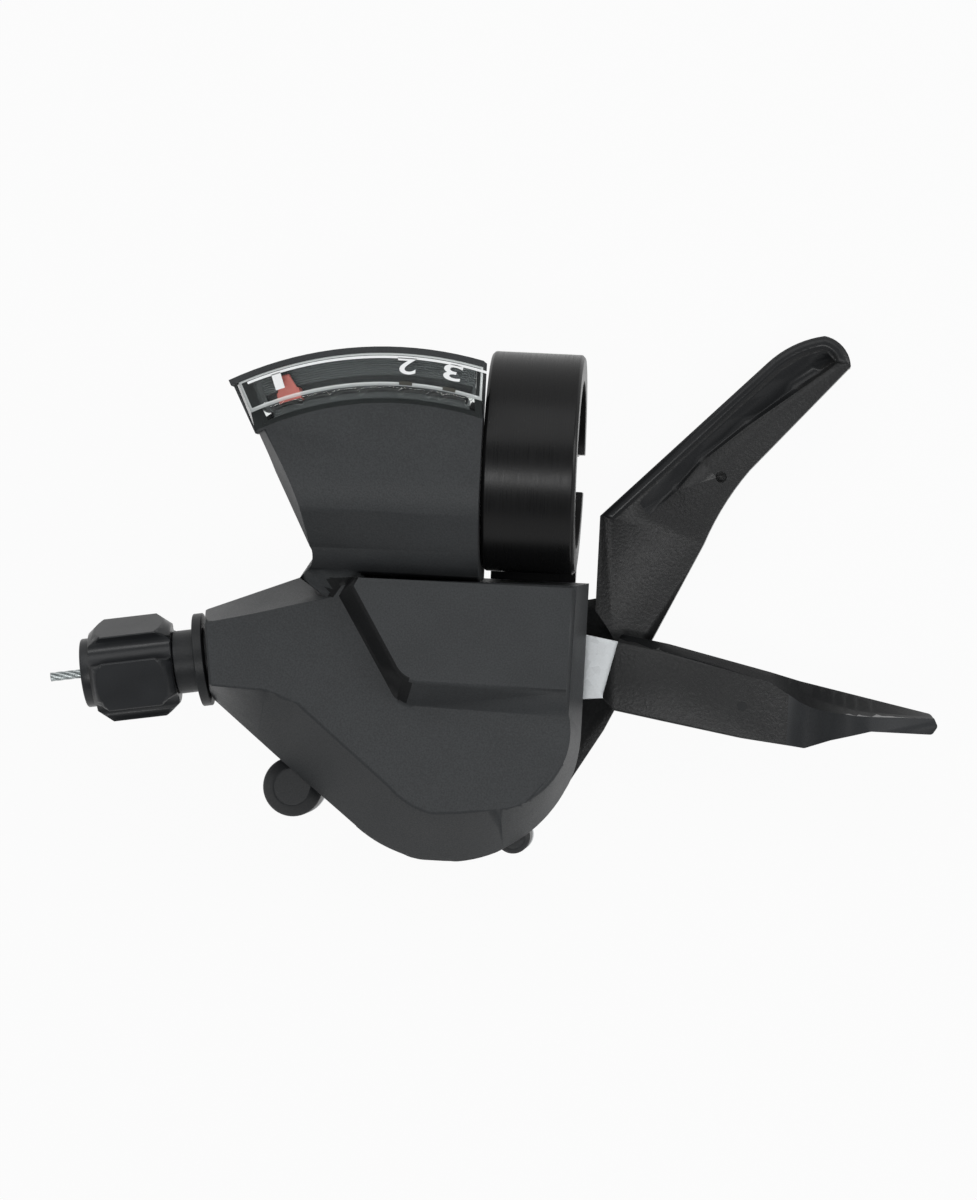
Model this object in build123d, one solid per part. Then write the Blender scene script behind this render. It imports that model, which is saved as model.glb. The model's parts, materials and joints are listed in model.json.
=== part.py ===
from build123d import *
import os
from math import acos, atan2, cos, degrees, hypot, radians, sin

# Trigger gear shifter for the left end of a flat handlebar, three speeds, seen from above.
# Frame: origin at the centre of the bar clamp, X outboard along the bar, Y towards the rider, Z up.
# All sizes are millimetres and all angles are degrees.

# Clearances
RUN_FIT = 0.05        # radial, for what turns or slides on a pin
SEAT_FIT = 0.02       # radial, for what is pressed or screwed together
LAYER_GAP = 0.3       # between flat pieces that turn over one another
FREE_GAP = 0.6        # round a piece that swings inside a housing

# Bar clamp
BAR_R = 11.1
BAND_WALL = 3.4
BAND_WIDTH = 12.2
BAND_CHAMFER = 0.4
SPLIT_GAP = 5.0
SPLIT_Y = -0.8
EAR_WIDTH = 10.0
FRONT_EAR = 6.0
REAR_EAR = 5.0
EAR_BELOW_BOLT = 4.0
EAR_FILLET = 2.0
BOLT_Z = -18.2
BOLT_R = 2.5
BOLT_HEAD_R = 4.25
BOLT_HEAD = 5.0
BOLT_SOCKET = 4.0
BOLT_SOCKET_DEPTH = 2.6
TONGUE_X = (-4.0, 5.5)
TONGUE_THICK = 2.4
TONGUE_CLEAR = 1.6              # to the trigger's spring

# Case plan
MAIN = (-10.3, -35.4)           # main axle
RIM_R = 18.1                    # rim round the main axle
RIM_STOPS = (-62.0, -95.0)      # where the skirt's width changes round the arc
FRONT_STOPS = (13.0, 17.5)      # along the straight front edge that leaves the arc
LEFT_END = ((30.17, 6.54), (30.98, -4.8))   # corners of the left end, along the cable and across
SHOULDER = (-30.4, -16.5)
BAR_SIDE_Y = -15.5              # wall next to the clamp
BAR_SIDE_LEFT = -23.0
SKIRT_WIDTHS = (1.2, 2.0, 5.0, 6.8, 7.8)   # rim to face crease, round the arc from the right
SKIRT_STOPS = (9.0, -24.0, -51.0, -93.5)
FACE_BOW = 0.2                  # rise of the crease's nearly straight front stretch
FACE_TOE = 0.5                  # bow of the crease round its front corner
FACE_FRONT = 2.3                # crease past the front edge's first stop
FACE_LEFT_LOW = (1.1, 1.5)      # steps from the rim's corners to the crease's
FACE_LEFT_TOP = (1.1, -1.8)
FACE_SHOULDER = (5.1, -2.6)
FACE_BAR_SIDE = (-0.5, -0.8)
FACE_RIGHT = -0.5
FACE_BEND = ((7.4, -0.3), (2.5, -0.5))     # steps along the bend at the crease's left end
PANEL_EDGE = 0.3                # crease to the panel's right wall
PANEL_DRAFT = 0.2               # lean of that wall
PANEL_BACK = 0.8                # bar side to the panel's back
PANEL_FOOT = ((-24.9, -19.1), (-17.4, -31.3), (-16.2, -32.8), (-14.2, -33.5), -33.9)
PANEL_CREST = ((-22.7, -17.4), (-16.4, -27.8), (-15.0, -29.1), (-13.0, -29.5), -29.7)
PANEL_CORNERS = (-0.4, 0.9)     # steps from the bar side's left end to foot and crest
WEB_FOOT = ((-29.9, -16.7), (-27.9, -13.4), (-21.4, -13.4), (-21.4, -18.4), (-25.6, -19.6))
WEB_TOP = ((-26.9, -13.6), (-26.4, -12.6), (-22.4, -12.6), (-22.4, -13.8), (-24.8, -13.8))
WEB_Z = (4.0, 9.4)              # web between the fan's foot and the face
WEB_STEPS = (0.0, 0.15, 0.32, 0.52, 0.75, 1.0)

# Case heights
RIM_Z = -5.0
FACE_Z = 5.0
PANEL_Z = 9.0
WALL = 1.6
TRAY_INSET = 0.4
TRAY_DRAFT = 1.0
BASE_THICK = 1.6
BASE_Z = -15.0

# Display fan
NEEDLE = (-17.1, -33.7)         # needle pivot and centre of the display's arcs
FAN_LEFT = 27.5                 # side edge, degrees left of +Y about the needle pivot
FAN_GAP = 0.1                   # fan to the clamp band
FAN_Z = 15.5
FAN_R = 47.2
FAN_FLAT_Y = -3.0
FAN_BEND_R = 13.0
FAN_FLARE_Y = -13.0
FAN_CHAMFER = (1.45, 4.2)
FAN_FOOT = 1.5                  # fan's plan past the shoulder
FAN_SWEEP = (2.1, 1.3)          # middle of the curve from the shoulder to the fan's edge
BAR_CLEAR = 0.6
LENS_FOOT_R = 40.1
LENS_BEVEL = 2.25               # plan width of the front bevel
LENS_DEPTH = 4.05               # bevel's top to the back
LENS_HEIGHT = 3.7
LENS_WALL = 0.9
LENS_LEFT = 26.2                # left end of its top
LENS_LEAN = 0.8                 # plan width of the left end's bevel
LENS_END = 1.9                  # thickness of the left end, in degrees
LENS_SEAT = 0.3                 # fan's full width in front of the lens
BACK_RIM_DROP = 0.15            # lens top to the rim behind it
BED_GAP = 0.3                   # needle's stem to the bed
BED_EDGE = 0.1                  # bed to the back rim
BED_THICK = 0.8
NEEDLE_REST = 19.2              # degrees left of +Y
NEEDLE_TRAVEL = 27.9
NEEDLE_THICK = 0.8
NEEDLE_ARM = 2.4
NEEDLE_HUB_R = 2.4
NEEDLE_Z = 2.1
NEEDLE_CLIMB = ((19.6, 0.0), (24.0, 7.2), (27.5, 10.0), (31.5, 11.1))
FLAG_GAP = 0.4                  # needle's flag to the bevel's inner face
FLAG_STEM = 0.8
FLAG_LENGTH = 2.8
FLAG_WIDTH = 3.0
FLAG_Z = 16.8
NEEDLE_PIN_R = 1.0
NEEDLE_PIN_HEAD = 0.8           # head past the pin

# Winder and cable
CABLE_Z = -5.5
CABLE_TILT = 9.5                # of the cable to X, in plan
CABLE_R = 0.6
WINDER_GAP = 4.1                # rim to the winder
GROOVE_DEPTH = 1.5              # winder's edge to the cable's middle
WINDER_THICK = 4.0
WINDER_TRAVEL = 60.0
GROOVE_WIDTH = 1.5
NIPPLE_R = 1.8
NIPPLE_LENGTH = 4.0
NIPPLE_AT = 58.0
NIPPLE_FIT = 0.1
PEG_R = 0.9
PEG_ARM = 6.2
PEG_AT = 16.0
PEG_SLOT_FIT = 0.2
RATCHET_STEP = 3.4              # winder to the ratchet
RATCHET_THICK = 1.4
TOOTH_DEPTH = 1.5
TOOTH_ANGLES = (133.0, 163.0, 178.0, 208.0)
TOOTH_FLANKS = (-8.0, 1.0)      # degrees from a notch's root to its edges
TOOTH_OPEN = 1.0
RIVET_R = 0.9
RIVET_EDGE = 2.6                # ratchet's edge to its pegs
RIVET_LENGTH = 2.0              # of the ratchet's pegs into the winder

# Axle
AXLE_R = 3.0
AXLE_HEAD_R = 5.2
AXLE_HEAD = 1.6
WASHER_R = 4.6
WASHER_THICK = 0.6
NUT_FLATS = 7.2
NUT_THICK = 2.6

# Thumb lever
HUB_R = 15.0
HUB_THICK = 2.2
BLADE_THICK = 4.2
BLADE_FROM_R = 24.9
BLADE_LEFT_X = 8.5
BLADE_TIP = ((30.0, 15.4), (34.2, 18.3), (37.4, 19.3), (39.7, 18.2), (41.1, 15.4))
BLADE_ROOT_TOP = (8.5, -6.3)
BLADE_WAIST = ((28.3, 0.9), (24.9, -4.3), (22.6, -9.4))
BLADE_HEEL = ((10.3, -35.2), (3.1, -47.3))
FLANGE_WALL = 1.8
FLANGE_DROP = 8.4
FLANGE_ROLL = 0.8               # rounding of the thumb edge
BLADE_HOLE = (24.5, -0.3)
BLADE_HOLE_R = 0.75
BLADE_HOLE_DEPTH = 1.4
HUB_NECK = (80.0, 3.0)          # where the blade leaves the hub, in degrees, and its step
# trough behind the thumb edge: distance from the root, edge to rim, edge to crease, depth
TROUGH = (
    (5.0, 1.9, 4.6, 0.04), (10.0, 1.9, 4.5, 0.5), (15.0, 1.9, 3.9, 0.9), (23.0, 1.9, 4.5, 1.3),
    (31.0, 2.0, 5.6, 1.7), (34.5, 2.6, 6.1, 1.8), (37.3, 4.0, 6.5, 1.5),
)
TROUGH_FORM = ((0.4, 0.55), (0.8, 1.0))     # shares of its width and depth
BUSH_R = 4.5
LEVER_PLATE_THICK = 1.6
LEVER_PLATE_RIM = 2.5           # round the bush
LEVER_PLATE_EDGE = 0.2          # past the pawl's hub
FEED_STEP = 3.4                 # ratchet to the feed pawl's pin
FEED_AT = 205.0
FEED_NOSE_AT = 187.0
PAWL_HUB_R = 1.9
PAWL_PIN_R = 1.2
PAWL_NOSE_R = 0.8
PAWL_THICK = 1.2
PAWL_GAP = 0.4

# Trigger and holding pawl
TRIGGER_IN = 5.6                # rim's right side to the trigger's pivot
TRIGGER_Y = -25.0
TRIGGER_EYE_R = 3.0
TRIGGER_PIN_R = 1.6
ARM_THICK = 1.6
ARM_TOP_EDGE = ((7.3, -22.3), (11.8, -23.0), (26.0, -26.0))
ARM_LOWER_EDGE = ((26.0, -30.6), (10.3, -30.7), (7.6, -31.0))
TAIL_LENGTH = 4.6
TAIL_WIDTH = 3.0
TAIL_PEG_R = 0.8
PIN_HEAD_R = 2.6
PIN_HEAD = 0.6
COLLAR_STEP = 0.1
HOLD_X = -6.3
HOLD_IN = 4.9                   # bar side to the holding pawl's pivot
HOLD_NOSE_AT = 103.0
HOLD_LEGS_AT = 180.0            # the spring's legs, away from the trigger
TRIGGER_TRAVEL = 12.0
CAP_TOP = ((12.2, -22.0), (22.9, -23.7), (36.4, -27.1), (54.0, -30.6))
CAP_TIP = (54.7, -32.0)
CAP_LOWER = ((54.0, -33.1), (46.0, -33.1), (40.8, -34.6), (37.4, -35.9), (28.8, -35.0), (11.6, -32.2), (10.2, -30.5))
CAP_CORNER = 0.5
CAP_DEPTH = (1.4, 2.6)          # below and above the arm
CAP_FIT = 0.1
CAP_WALL = 1.6                  # upright part of its back
CAP_RIDGE = ((8.0, -22.6), (18.6, -24.2), (32.4, -27.4), (36.5, -29.8), (38.6, -30.7), (44.6, -31.2), (57.0, -30.9))
CAP_STATIONS = (8.0, 18.6, 32.4, 35.0, 36.5, 38.0, 39.5, 41.0, 42.5, 44.0, 46.0, 57.0)
CAP_SLOPE = (8.0, 18.6, 1.2)    # where the face drops towards the arm, and by how much
PADDLE_RISE = (35.0, 46.0, 7.0)  # where the paddle rises out of the face, and by how much
PADDLE_HOLLOW = 0.28            # share by which its back is hollowed

# Adjuster, measured outwards along the cable from where it meets the winder
FLANGE_FACE = 31.9
FLANGE_R = 6.2
FLANGE_THICK = 1.3
STEM_R = 4.2
STEM_LENGTH = 5.1
STEM_END = 2.0
NECK_SHOWN = 3.0
BARREL_R = 2.9
BARREL_HIDDEN = 4.4
SPIGOT_LENGTH = 3.0
KNOB_LENGTH = 12.4
KNOB_R = 6.9
KNOB_FLAT = 6.1                 # axis to the grip pads
KNOB_VALLEY = (6.5, 1.8)        # centre and radius of the valleys between the pads
KNOB_TURN = -22.0               # of the first pad from straight up
KNOB_RIM_R = 4.6
KNOB_RIM = 1.3
KNOB_BEVEL = (2.0, 1.6)         # along and across
CASING_R = 2.5
CASING_DEPTH = 6.0
CABLE_HOLE_R = 1.0
CABLE_STUB = 4.6

# Screws
SCREW_R = 1.25
SCREW_HEAD_R = 2.4
SCREW_HEAD = 1.2
COVER_SCREW = 8.0
CLAMP_SCREW = 3.8
CLAMP_SCREW_X = (-1.8, 3.3)
CLAMP_SCREW_EDGE = 2.1          # to the tongue's end
CROSS = (2.4, 0.5)              # arm of the driver cross, as shares of the screw's radius
SCREW_SPARE = 0.6               # hole past a screw's tip
BOSS_AT = (9.9, 1.76)           # along the front edge and out from it
BOSS_R = 4.0
BOSS_BEVEL = 1.5
LUG_INSET = 0.9                 # rim to the lug's middle
LUG_AT = -56.0
LUG_R = 2.3
LUG_DROP = 0.6
PILLAR_AT = (-34.0, -31.5)
PILLAR_R = 2.1

# Springs
STRIP = 0.7                     # thickness of the flat spiral springs
STRIP_PITCH = 1.7
SPIRAL_TURNS = 2
COIL_WIRE = 0.5
COIL_TURNS = 2
COIL_STEP = 0.7                 # pitch of the springs round the pins
COIL_LEG = 2.0


def polar(centre, radius, angle):
    """A point at an angle from +X about a centre."""
    return (centre[0] + radius * cos(radians(angle)), centre[1] + radius * sin(radians(angle)))


def shifted(point, vector, amount=1.0):
    """A point moved along a vector."""
    return (point[0] + vector[0] * amount, point[1] + vector[1] * amount)


def turned(point, centre, angle):
    """A point turned about a centre."""
    dx, dy = point[0] - centre[0], point[1] - centre[1]
    c, s = cos(radians(angle)), sin(radians(angle))
    return (centre[0] + dx * c - dy * s, centre[1] + dx * s + dy * c)


# Heights that follow from the driving dimensions
BAND_R = BAR_R + BAND_WALL
BASE_TOP = BASE_Z + BASE_THICK
ROOF_Z = FACE_Z - WALL
WINDER_TOP = CABLE_Z + WINDER_THICK / 2
WINDER_LOW = CABLE_Z - WINDER_THICK / 2
RATCHET_LOW = WINDER_LOW - RATCHET_THICK
ARM_TOP = RATCHET_LOW - LAYER_GAP
ARM_LOW = ARM_TOP - ARM_THICK
PLATE_LOW = BASE_TOP + LAYER_GAP
PLATE_TOP = PLATE_LOW + LEVER_PLATE_THICK
HUB_TOP = BASE_Z - LAYER_GAP
HUB_LOW = HUB_TOP - HUB_THICK
BLADE_TOP = HUB_LOW + BLADE_THICK
PAWL_LOW = RATCHET_LOW + (RATCHET_THICK - PAWL_THICK) / 2
PAWL_TOP = PAWL_LOW + PAWL_THICK
COIL_SPRING = COIL_TURNS * COIL_STEP + COIL_WIRE   # height of the springs round the pins
CAP_LOW = ARM_LOW - CAP_DEPTH[0]
CAP_HIGH = ARM_TOP + CAP_DEPTH[1]
LENS_TOP = FAN_Z + LENS_HEIGHT
LENS_BROW_R = LENS_FOOT_R + LENS_BEVEL
LENS_BACK_R = LENS_BROW_R + LENS_DEPTH
LENS_SLOPE = LENS_BEVEL / LENS_HEIGHT
LENS_FRONT = LENS_WALL * hypot(1, LENS_SLOPE)      # front wall, measured level
FLAG_START = LENS_FOOT_R + LENS_FRONT + LENS_SLOPE * (FLAG_Z + NEEDLE_THICK / 2 - FAN_Z) + FLAG_GAP
FLAG_BACK = FLAG_START + FLAG_STEM
BED_R = (FLAG_BACK + BED_GAP, LENS_BACK_R - BED_EDGE)
FAN_RIGHT_X = -BAND_WIDTH / 2 - FAN_GAP
RIGHT_X = MAIN[0] + RIM_R
TRIGGER_PIVOT = (RIGHT_X - TRIGGER_IN, TRIGGER_Y)
SPRING_R = TRIGGER_PIN_R + LAYER_GAP + COIL_WIRE   # outside of the trigger's spring
TONGUE_END_Y = TRIGGER_PIVOT[1] + SPRING_R + TONGUE_CLEAR
CLAMP_SCREW_Y = TONGUE_END_Y + CLAMP_SCREW_EDGE
NEEDLE_RATIO = NEEDLE_TRAVEL / WINDER_TRAVEL
WINDER_R = RIM_R - WINDER_GAP
WIND_R = WINDER_R - GROOVE_DEPTH
RATCHET_R = WINDER_R - RATCHET_STEP
RIVET_RING = RATCHET_R - RIVET_EDGE
FEED_ARM = RATCHET_R + FEED_STEP
HOLD_PIVOT = (HOLD_X, BAR_SIDE_Y - HOLD_IN)
CABLE_DIR = (cos(radians(CABLE_TILT)), sin(radians(CABLE_TILT)))
CABLE_TANGENT = polar(MAIN, WIND_R, 90 + CABLE_TILT)
CABLE_FRAME = Plane(
    origin=(*CABLE_TANGENT, CABLE_Z),
    x_dir=(0, 0, 1),
    z_dir=(-CABLE_DIR[0], -CABLE_DIR[1], 0),
)
CABLE_SIDE = polar((0, 0), 1, 90 + CABLE_TILT)
LEFT_TOP, LEFT_LOW = [shifted(shifted(CABLE_TANGENT, CABLE_DIR, -out), CABLE_SIDE, side) for out, side in LEFT_END]
LEFT_SPAN = hypot(LEFT_LOW[0] - MAIN[0], LEFT_LOW[1] - MAIN[1])
TANGENT = degrees(atan2(LEFT_LOW[1] - MAIN[1], LEFT_LOW[0] - MAIN[0]) + acos(RIM_R / LEFT_SPAN)) - 360
FRONT_START = polar(MAIN, RIM_R, TANGENT)          # where the arc meets the straight front edge
FRONT_DIR = polar((0, 0), 1, TANGENT - 90)
FLANGE_BACK = FLANGE_FACE - FLANGE_THICK
STEM_BACK = FLANGE_BACK - STEM_LENGTH
KNOB_START = FLANGE_FACE + NECK_SHOWN
KNOB_END = KNOB_START + KNOB_LENGTH
LUG_CENTRE = polar(MAIN, RIM_R - LUG_INSET, LUG_AT)
BOSS_CENTRE = shifted(shifted(FRONT_START, FRONT_DIR, BOSS_AT[0]), polar((0, 0), 1, TANGENT), BOSS_AT[1])
COVER_SCREW_CENTRES = (BOSS_CENTRE, LUG_CENTRE, PILLAR_AT)


def disc(centre, radius, low, high):
    """An upright cylinder between two heights."""
    return Pos(*centre, low) * Cylinder(radius, high - low, align=(Align.CENTER, Align.CENTER, Align.MIN))


def ring(centre, radius, bore, low, high):
    """An upright tube between two heights."""
    return disc(centre, radius, low, high) - disc(centre, bore, low, high)


def block(x, y, z):
    """A box between pairs of limits."""
    size = [limits[1] - limits[0] for limits in (x, y, z)]
    return Pos(x[0], y[0], z[0]) * Box(*size, align=(Align.MIN, Align.MIN, Align.MIN))


def rod(frame, radius, start, end):
    """A cylinder along a frame's axis."""
    return frame * Pos(0, 0, start) * Cylinder(radius, end - start, align=(Align.CENTER, Align.CENTER, Align.MIN))


def plate(sketch, low, high):
    """A flat outline given its thickness."""
    return extrude(Pos(0, 0, low) * sketch, amount=high - low, dir=(0, 0, 1))


def capsule(start, end, radius):
    """A straight slot outline between two points."""
    length = hypot(end[0] - start[0], end[1] - start[1])
    angle = degrees(atan2(end[1] - start[1], end[0] - start[0]))
    middle = ((start[0] + end[0]) / 2, (start[1] + end[1]) / 2)
    return Pos(*middle) * Rot(0, 0, angle) * SlotCenterToCenter(length, 2 * radius)


def spot(centre, radius):
    """A round outline."""
    return Pos(*centre) * Circle(radius)


def polygon(points):
    """A straight-sided outline."""
    return make_face(Polyline(*points, close=True))


def curved(outline, z=0.0):
    """A closed wire from points, each with the middle of the arc that follows it, or None."""
    edges = []
    for index, (point, middle) in enumerate(outline):
        following = outline[(index + 1) % len(outline)][0]
        if middle is None:
            edges.append(Edge.make_line((*point, z), (*following, z)))
        else:
            edges.append(Edge.make_three_point_arc((*point, z), (*middle, z), (*following, z)))
    return Wire(edges)


def inset(outline, distance):
    """The same outline moved inwards by a distance."""
    points = []
    for point, middle in outline:
        points += [point] if middle is None else [point, middle]
    count = len(points)
    area = sum(points[i - 1][0] * points[i][1] - points[i][0] * points[i - 1][1] for i in range(count))
    side = 1.0 if area > 0 else -1.0

    def normal(a, b):
        length = hypot(b[0] - a[0], b[1] - a[1])
        return (-side * (b[1] - a[1]) / length, side * (b[0] - a[0]) / length)

    moved = []
    for i in range(count):
        before = normal(points[i - 1], points[i])
        after = normal(points[i], points[(i + 1) % count])
        scale = distance / (1 + before[0] * after[0] + before[1] * after[1])
        moved.append((points[i][0] + scale * (before[0] + after[0]), points[i][1] + scale * (before[1] + after[1])))
    moved = iter(moved)
    return [(next(moved), None if middle is None else next(moved)) for _, middle in outline]


def frustum(low, z_low, high, z_high):
    """A solid ruled between two outlines of the same make."""
    return Part() + Solid.make_loft([curved(low, z_low), curved(high, z_high)], ruled=True)


def lofted(sections):
    """A solid ruled through closed straight-sided sections."""
    return Part() + Solid.make_loft([Wire.make_polygon(points, close=True) for points in sections], ruled=True)


def eased(x, start, end):
    """Rises smoothly from 0 to 1 between two places."""
    share = min(max((x - start) / (end - start), 0.0), 1.0)
    return share * share * (3 - 2 * share)


def level(points, x):
    """Y at an X along a run of points."""
    for (x0, y0), (x1, y1) in zip(points, points[1:]):
        if x <= x1:
            break
    return y0 + (y1 - y0) * (x - x0) / (x1 - x0)


def revolved(points, centre, start, sweep):
    """A profile of (radius, height) points turned about an upright axis through an angle."""
    profile = make_face(Plane.XZ * Polyline(*points, close=True))
    return Pos(*centre, 0) * Rot(0, 0, start) * revolve(profile, axis=Axis.Z, revolution_arc=sweep)


def spiral(inner, turns):
    """A flat spring outline wound outwards in half turns about two centres."""
    step = STRIP_PITCH / 2
    sketch = Sketch()
    for half in range(2 * turns):
        radius = inner + half * step
        whole = Circle(radius + STRIP) - Circle(radius)
        reach = 2 * (radius + STRIP)
        keep = Pos(0, (1 if half % 2 == 0 else -1) * reach / 2) * Rectangle(2 * reach, reach)
        sketch += Pos(step * (half % 2), 0) * (whole & keep)
    return sketch


def coil(radius, turns, pitch):
    """A helical spring of square wire that stands on Z = 0."""
    path = Helix(pitch, turns * pitch, radius)
    section = Plane(origin=path @ 0, z_dir=path % 0) * Rectangle(COIL_WIRE, COIL_WIRE)
    return sweep(section, path=path, is_frenet=True)


def pin_spring(centre, pin_r, low, turn=0.0):
    """A helical spring round an upright pin, with a straight leg at each end."""
    radius = pin_r + LAYER_GAP + COIL_WIRE / 2
    half = COIL_WIRE / 2 - SEAT_FIT
    rise = COIL_TURNS * COIL_STEP
    section = (radius - half, radius + half)
    body = coil(radius, COIL_TURNS, COIL_STEP)
    body += block(section, (-COIL_LEG, half), (-half, half))
    body += block(section, (-half, COIL_LEG), (rise - half, rise + half))
    return Pos(*centre, low + COIL_WIRE / 2) * Rot(0, 0, turn) * body


def rim_outline():
    """The case's rim: an arc about the axle, a straight front edge, the left end and the bar side."""
    angles = (0.0, *RIM_STOPS, TANGENT)
    outline = []
    for first, second in zip(angles, angles[1:]):
        outline.append((polar(MAIN, RIM_R, first), polar(MAIN, RIM_R, (first + second) / 2)))
    outline.append((FRONT_START, None))
    outline += [(shifted(FRONT_START, FRONT_DIR, stop), None) for stop in FRONT_STOPS]
    corners = (LEFT_LOW, LEFT_TOP, SHOULDER, (BAR_SIDE_LEFT, BAR_SIDE_Y), (RIGHT_X, BAR_SIDE_Y))
    outline += [(corner, None) for corner in corners]
    return outline


def face_outline():
    """The crease round the cover's flat face, one point for each point of the rim."""
    corner = [polar(MAIN, RIM_R - width, angle) for width, angle in zip(SKIRT_WIDTHS, (*SKIRT_STOPS, TANGENT))]
    front = shifted(corner[4], FRONT_DIR, FRONT_STOPS[0] + FACE_FRONT)
    left_low = shifted(LEFT_LOW, FACE_LEFT_LOW)
    bend_end = shifted(left_low, FACE_BEND[0])
    bend = shifted(bend_end, FACE_BEND[1])
    toe = polar(MAIN, RIM_R - SKIRT_WIDTHS[4] + FACE_TOE, (SKIRT_STOPS[3] + TANGENT) / 2)
    right = RIGHT_X - SKIRT_WIDTHS[0]
    return [
        (corner[0], corner[1]),
        (corner[2], shifted(shifted(corner[2], shifted(corner[3], corner[2], -1.0), 0.5), (0, -FACE_BOW))),
        (corner[3], toe),
        (corner[4], None),
        (front, bend),
        (bend_end, None),
        (left_low, None),
        (shifted(LEFT_TOP, FACE_LEFT_TOP), None),
        (shifted(SHOULDER, FACE_SHOULDER), None),
        (shifted((BAR_SIDE_LEFT, BAR_SIDE_Y), FACE_BAR_SIDE), None),
        ((right, BAR_SIDE_Y + FACE_RIGHT), None),
    ]


def panel_outlines():
    """The raised panel's foot on the face and its top."""
    right = RIGHT_X - SKIRT_WIDTHS[0] - PANEL_EDGE
    top = BAR_SIDE_Y - PANEL_BACK
    outlines = []
    for points, lean, corner in zip((PANEL_FOOT, PANEL_CREST), (0.0, PANEL_DRAFT), PANEL_CORNERS):
        outlines.append([
            (points[0], None),
            (points[1], points[2]),
            (points[3], None),
            ((right - lean, points[4]), None),
            ((right - lean, top), None),
            ((BAR_SIDE_LEFT + corner, top), None),
        ])
    return outlines


def needle_profile(grow):
    """The needle strip's section along its length, thickened by a clearance."""
    half = NEEDLE_THICK / 2 + grow
    start = [(0.0, 0.0), *NEEDLE_CLIMB, (FLAG_BACK + grow, NEEDLE_CLIMB[-1][1])]
    upper = [(radius, NEEDLE_Z + rise + half) for radius, rise in start]
    lower = [(radius + (half if 0 < i < 3 else 0), NEEDLE_Z + rise - half) for i, (radius, rise) in enumerate(start)]
    return upper + lower[::-1]


def fan_shell():
    """The saddle that carries the display over the bar, as one solid."""
    clear = BAR_R + BAR_CLEAR
    bend = (FAN_FLAT_Y, FAN_Z - FAN_BEND_R)
    half = FAN_BEND_R * sin(radians(45))
    back = NEEDLE[1] + FAN_R + WALL
    edges = Curve() + [
        Line((back, clear), (back, FAN_Z)),
        Line((back, FAN_Z), (FAN_FLAT_Y, FAN_Z)),
        ThreePointArc((FAN_FLAT_Y, FAN_Z), (bend[0] - half, bend[1] + half), (bend[0] - FAN_BEND_R, bend[1])),
        Line((bend[0] - FAN_BEND_R, bend[1]), (bend[0] - FAN_BEND_R, RIM_Z)),
        Line((bend[0] - FAN_BEND_R, RIM_Z), (-clear, RIM_Z)),
        Line((-clear, RIM_Z), (-clear, 0)),
        ThreePointArc((-clear, 0), (-clear * sin(radians(45)), clear * cos(radians(45))), (0, clear)),
        Line((0, clear), (back, clear)),
    ]
    left = NEEDLE[0] - FAN_R
    saddle = extrude(Plane.YZ.offset(left) * make_face(edges), amount=FAN_RIGHT_X - left)
    edge_turn = 90 + FAN_LEFT
    crown = polar(NEEDLE, FAN_R, edge_turn)
    waist_r = (FAN_FLARE_Y - NEEDLE[1]) / cos(radians(FAN_LEFT))
    waist = polar(NEEDLE, waist_r, edge_turn)
    right_turn = degrees(atan2((FAN_R**2 - (FAN_RIGHT_X - NEEDLE[0])**2) ** 0.5, FAN_RIGHT_X - NEEDLE[0]))
    crown_right = polar(NEEDLE, FAN_R, right_turn)
    top = polar(NEEDLE, FAN_R, (edge_turn + right_turn) / 2)
    foot = SHOULDER[1] - FAN_FOOT
    plan = curved([
        (waist, None),
        (crown, top),
        (crown_right, None),
        ((FAN_RIGHT_X, foot), None),
        ((SHOULDER[0], foot), None),
        (SHOULDER, shifted(SHOULDER, FAN_SWEEP)),
    ])
    fan = saddle & plate(Face(plan), RIM_Z, LENS_TOP)
    back_rim = plate(Face(plan), FAN_Z - WALL / 2, LENS_TOP - BACK_RIM_DROP)
    fan += back_rim - disc(NEEDLE, LENS_BACK_R + SEAT_FIT, FAN_Z - WALL / 2, LENS_TOP)
    # the side edge is bevelled as far as the lens
    on_edge = shifted(crown, polar((0, 0), FAN_CHAMFER[0], edge_turn - 90))
    bevel = side_cut((*on_edge, FAN_Z), edge_turn, *FAN_CHAMFER)
    return fan - (bevel & disc(NEEDLE, LENS_FOOT_R - LENS_SEAT, RIM_Z, LENS_TOP))


def fan_web():
    """The hollow-sided web that joins the fan's foot to the face."""
    sections = []
    for step in WEB_STEPS:
        z = WEB_Z[0] + (WEB_Z[1] - WEB_Z[0]) * step
        share = 1 - (1 - step) ** 2
        points = [shifted(low, shifted(high, low, -1.0), share) for low, high in zip(WEB_FOOT, WEB_TOP)]
        sections.append([(*point, z) for point in points])
    return lofted(sections)


def side_cut(on_edge, turn, lean, drop):
    """What lies past a wall that leans out to the left, from a point on its top edge."""
    edge_dir = Vector(*polar((0, 0), 1, turn), 0)
    left = Vector(*polar((0, 0), 1, turn + 90), 0)
    outward = (left * drop + Vector(0, 0, lean)).normalized()
    face = Plane(origin=on_edge, x_dir=edge_dir, z_dir=outward)
    return face * Pos(0, 0, FAN_R) * Box(4 * FAN_R, 4 * FAN_R, 2 * FAN_R)


def lens_profile():
    """The lens section."""
    return [(LENS_FOOT_R, FAN_Z), (LENS_BROW_R, LENS_TOP), (LENS_BACK_R, LENS_TOP), (LENS_BACK_R, FAN_Z)]


def hollow_profile():
    """The space under the lens, open below and at the back."""
    low, top = FAN_Z - LENS_WALL, LENS_TOP - LENS_WALL
    foot = LENS_FOOT_R + LENS_FRONT
    back = LENS_BACK_R + LENS_WALL
    front = [(foot - LENS_SLOPE * LENS_WALL, low), (foot + LENS_SLOPE * (top - FAN_Z), top)]
    return [*front, (back, top), (back, low)]


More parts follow.
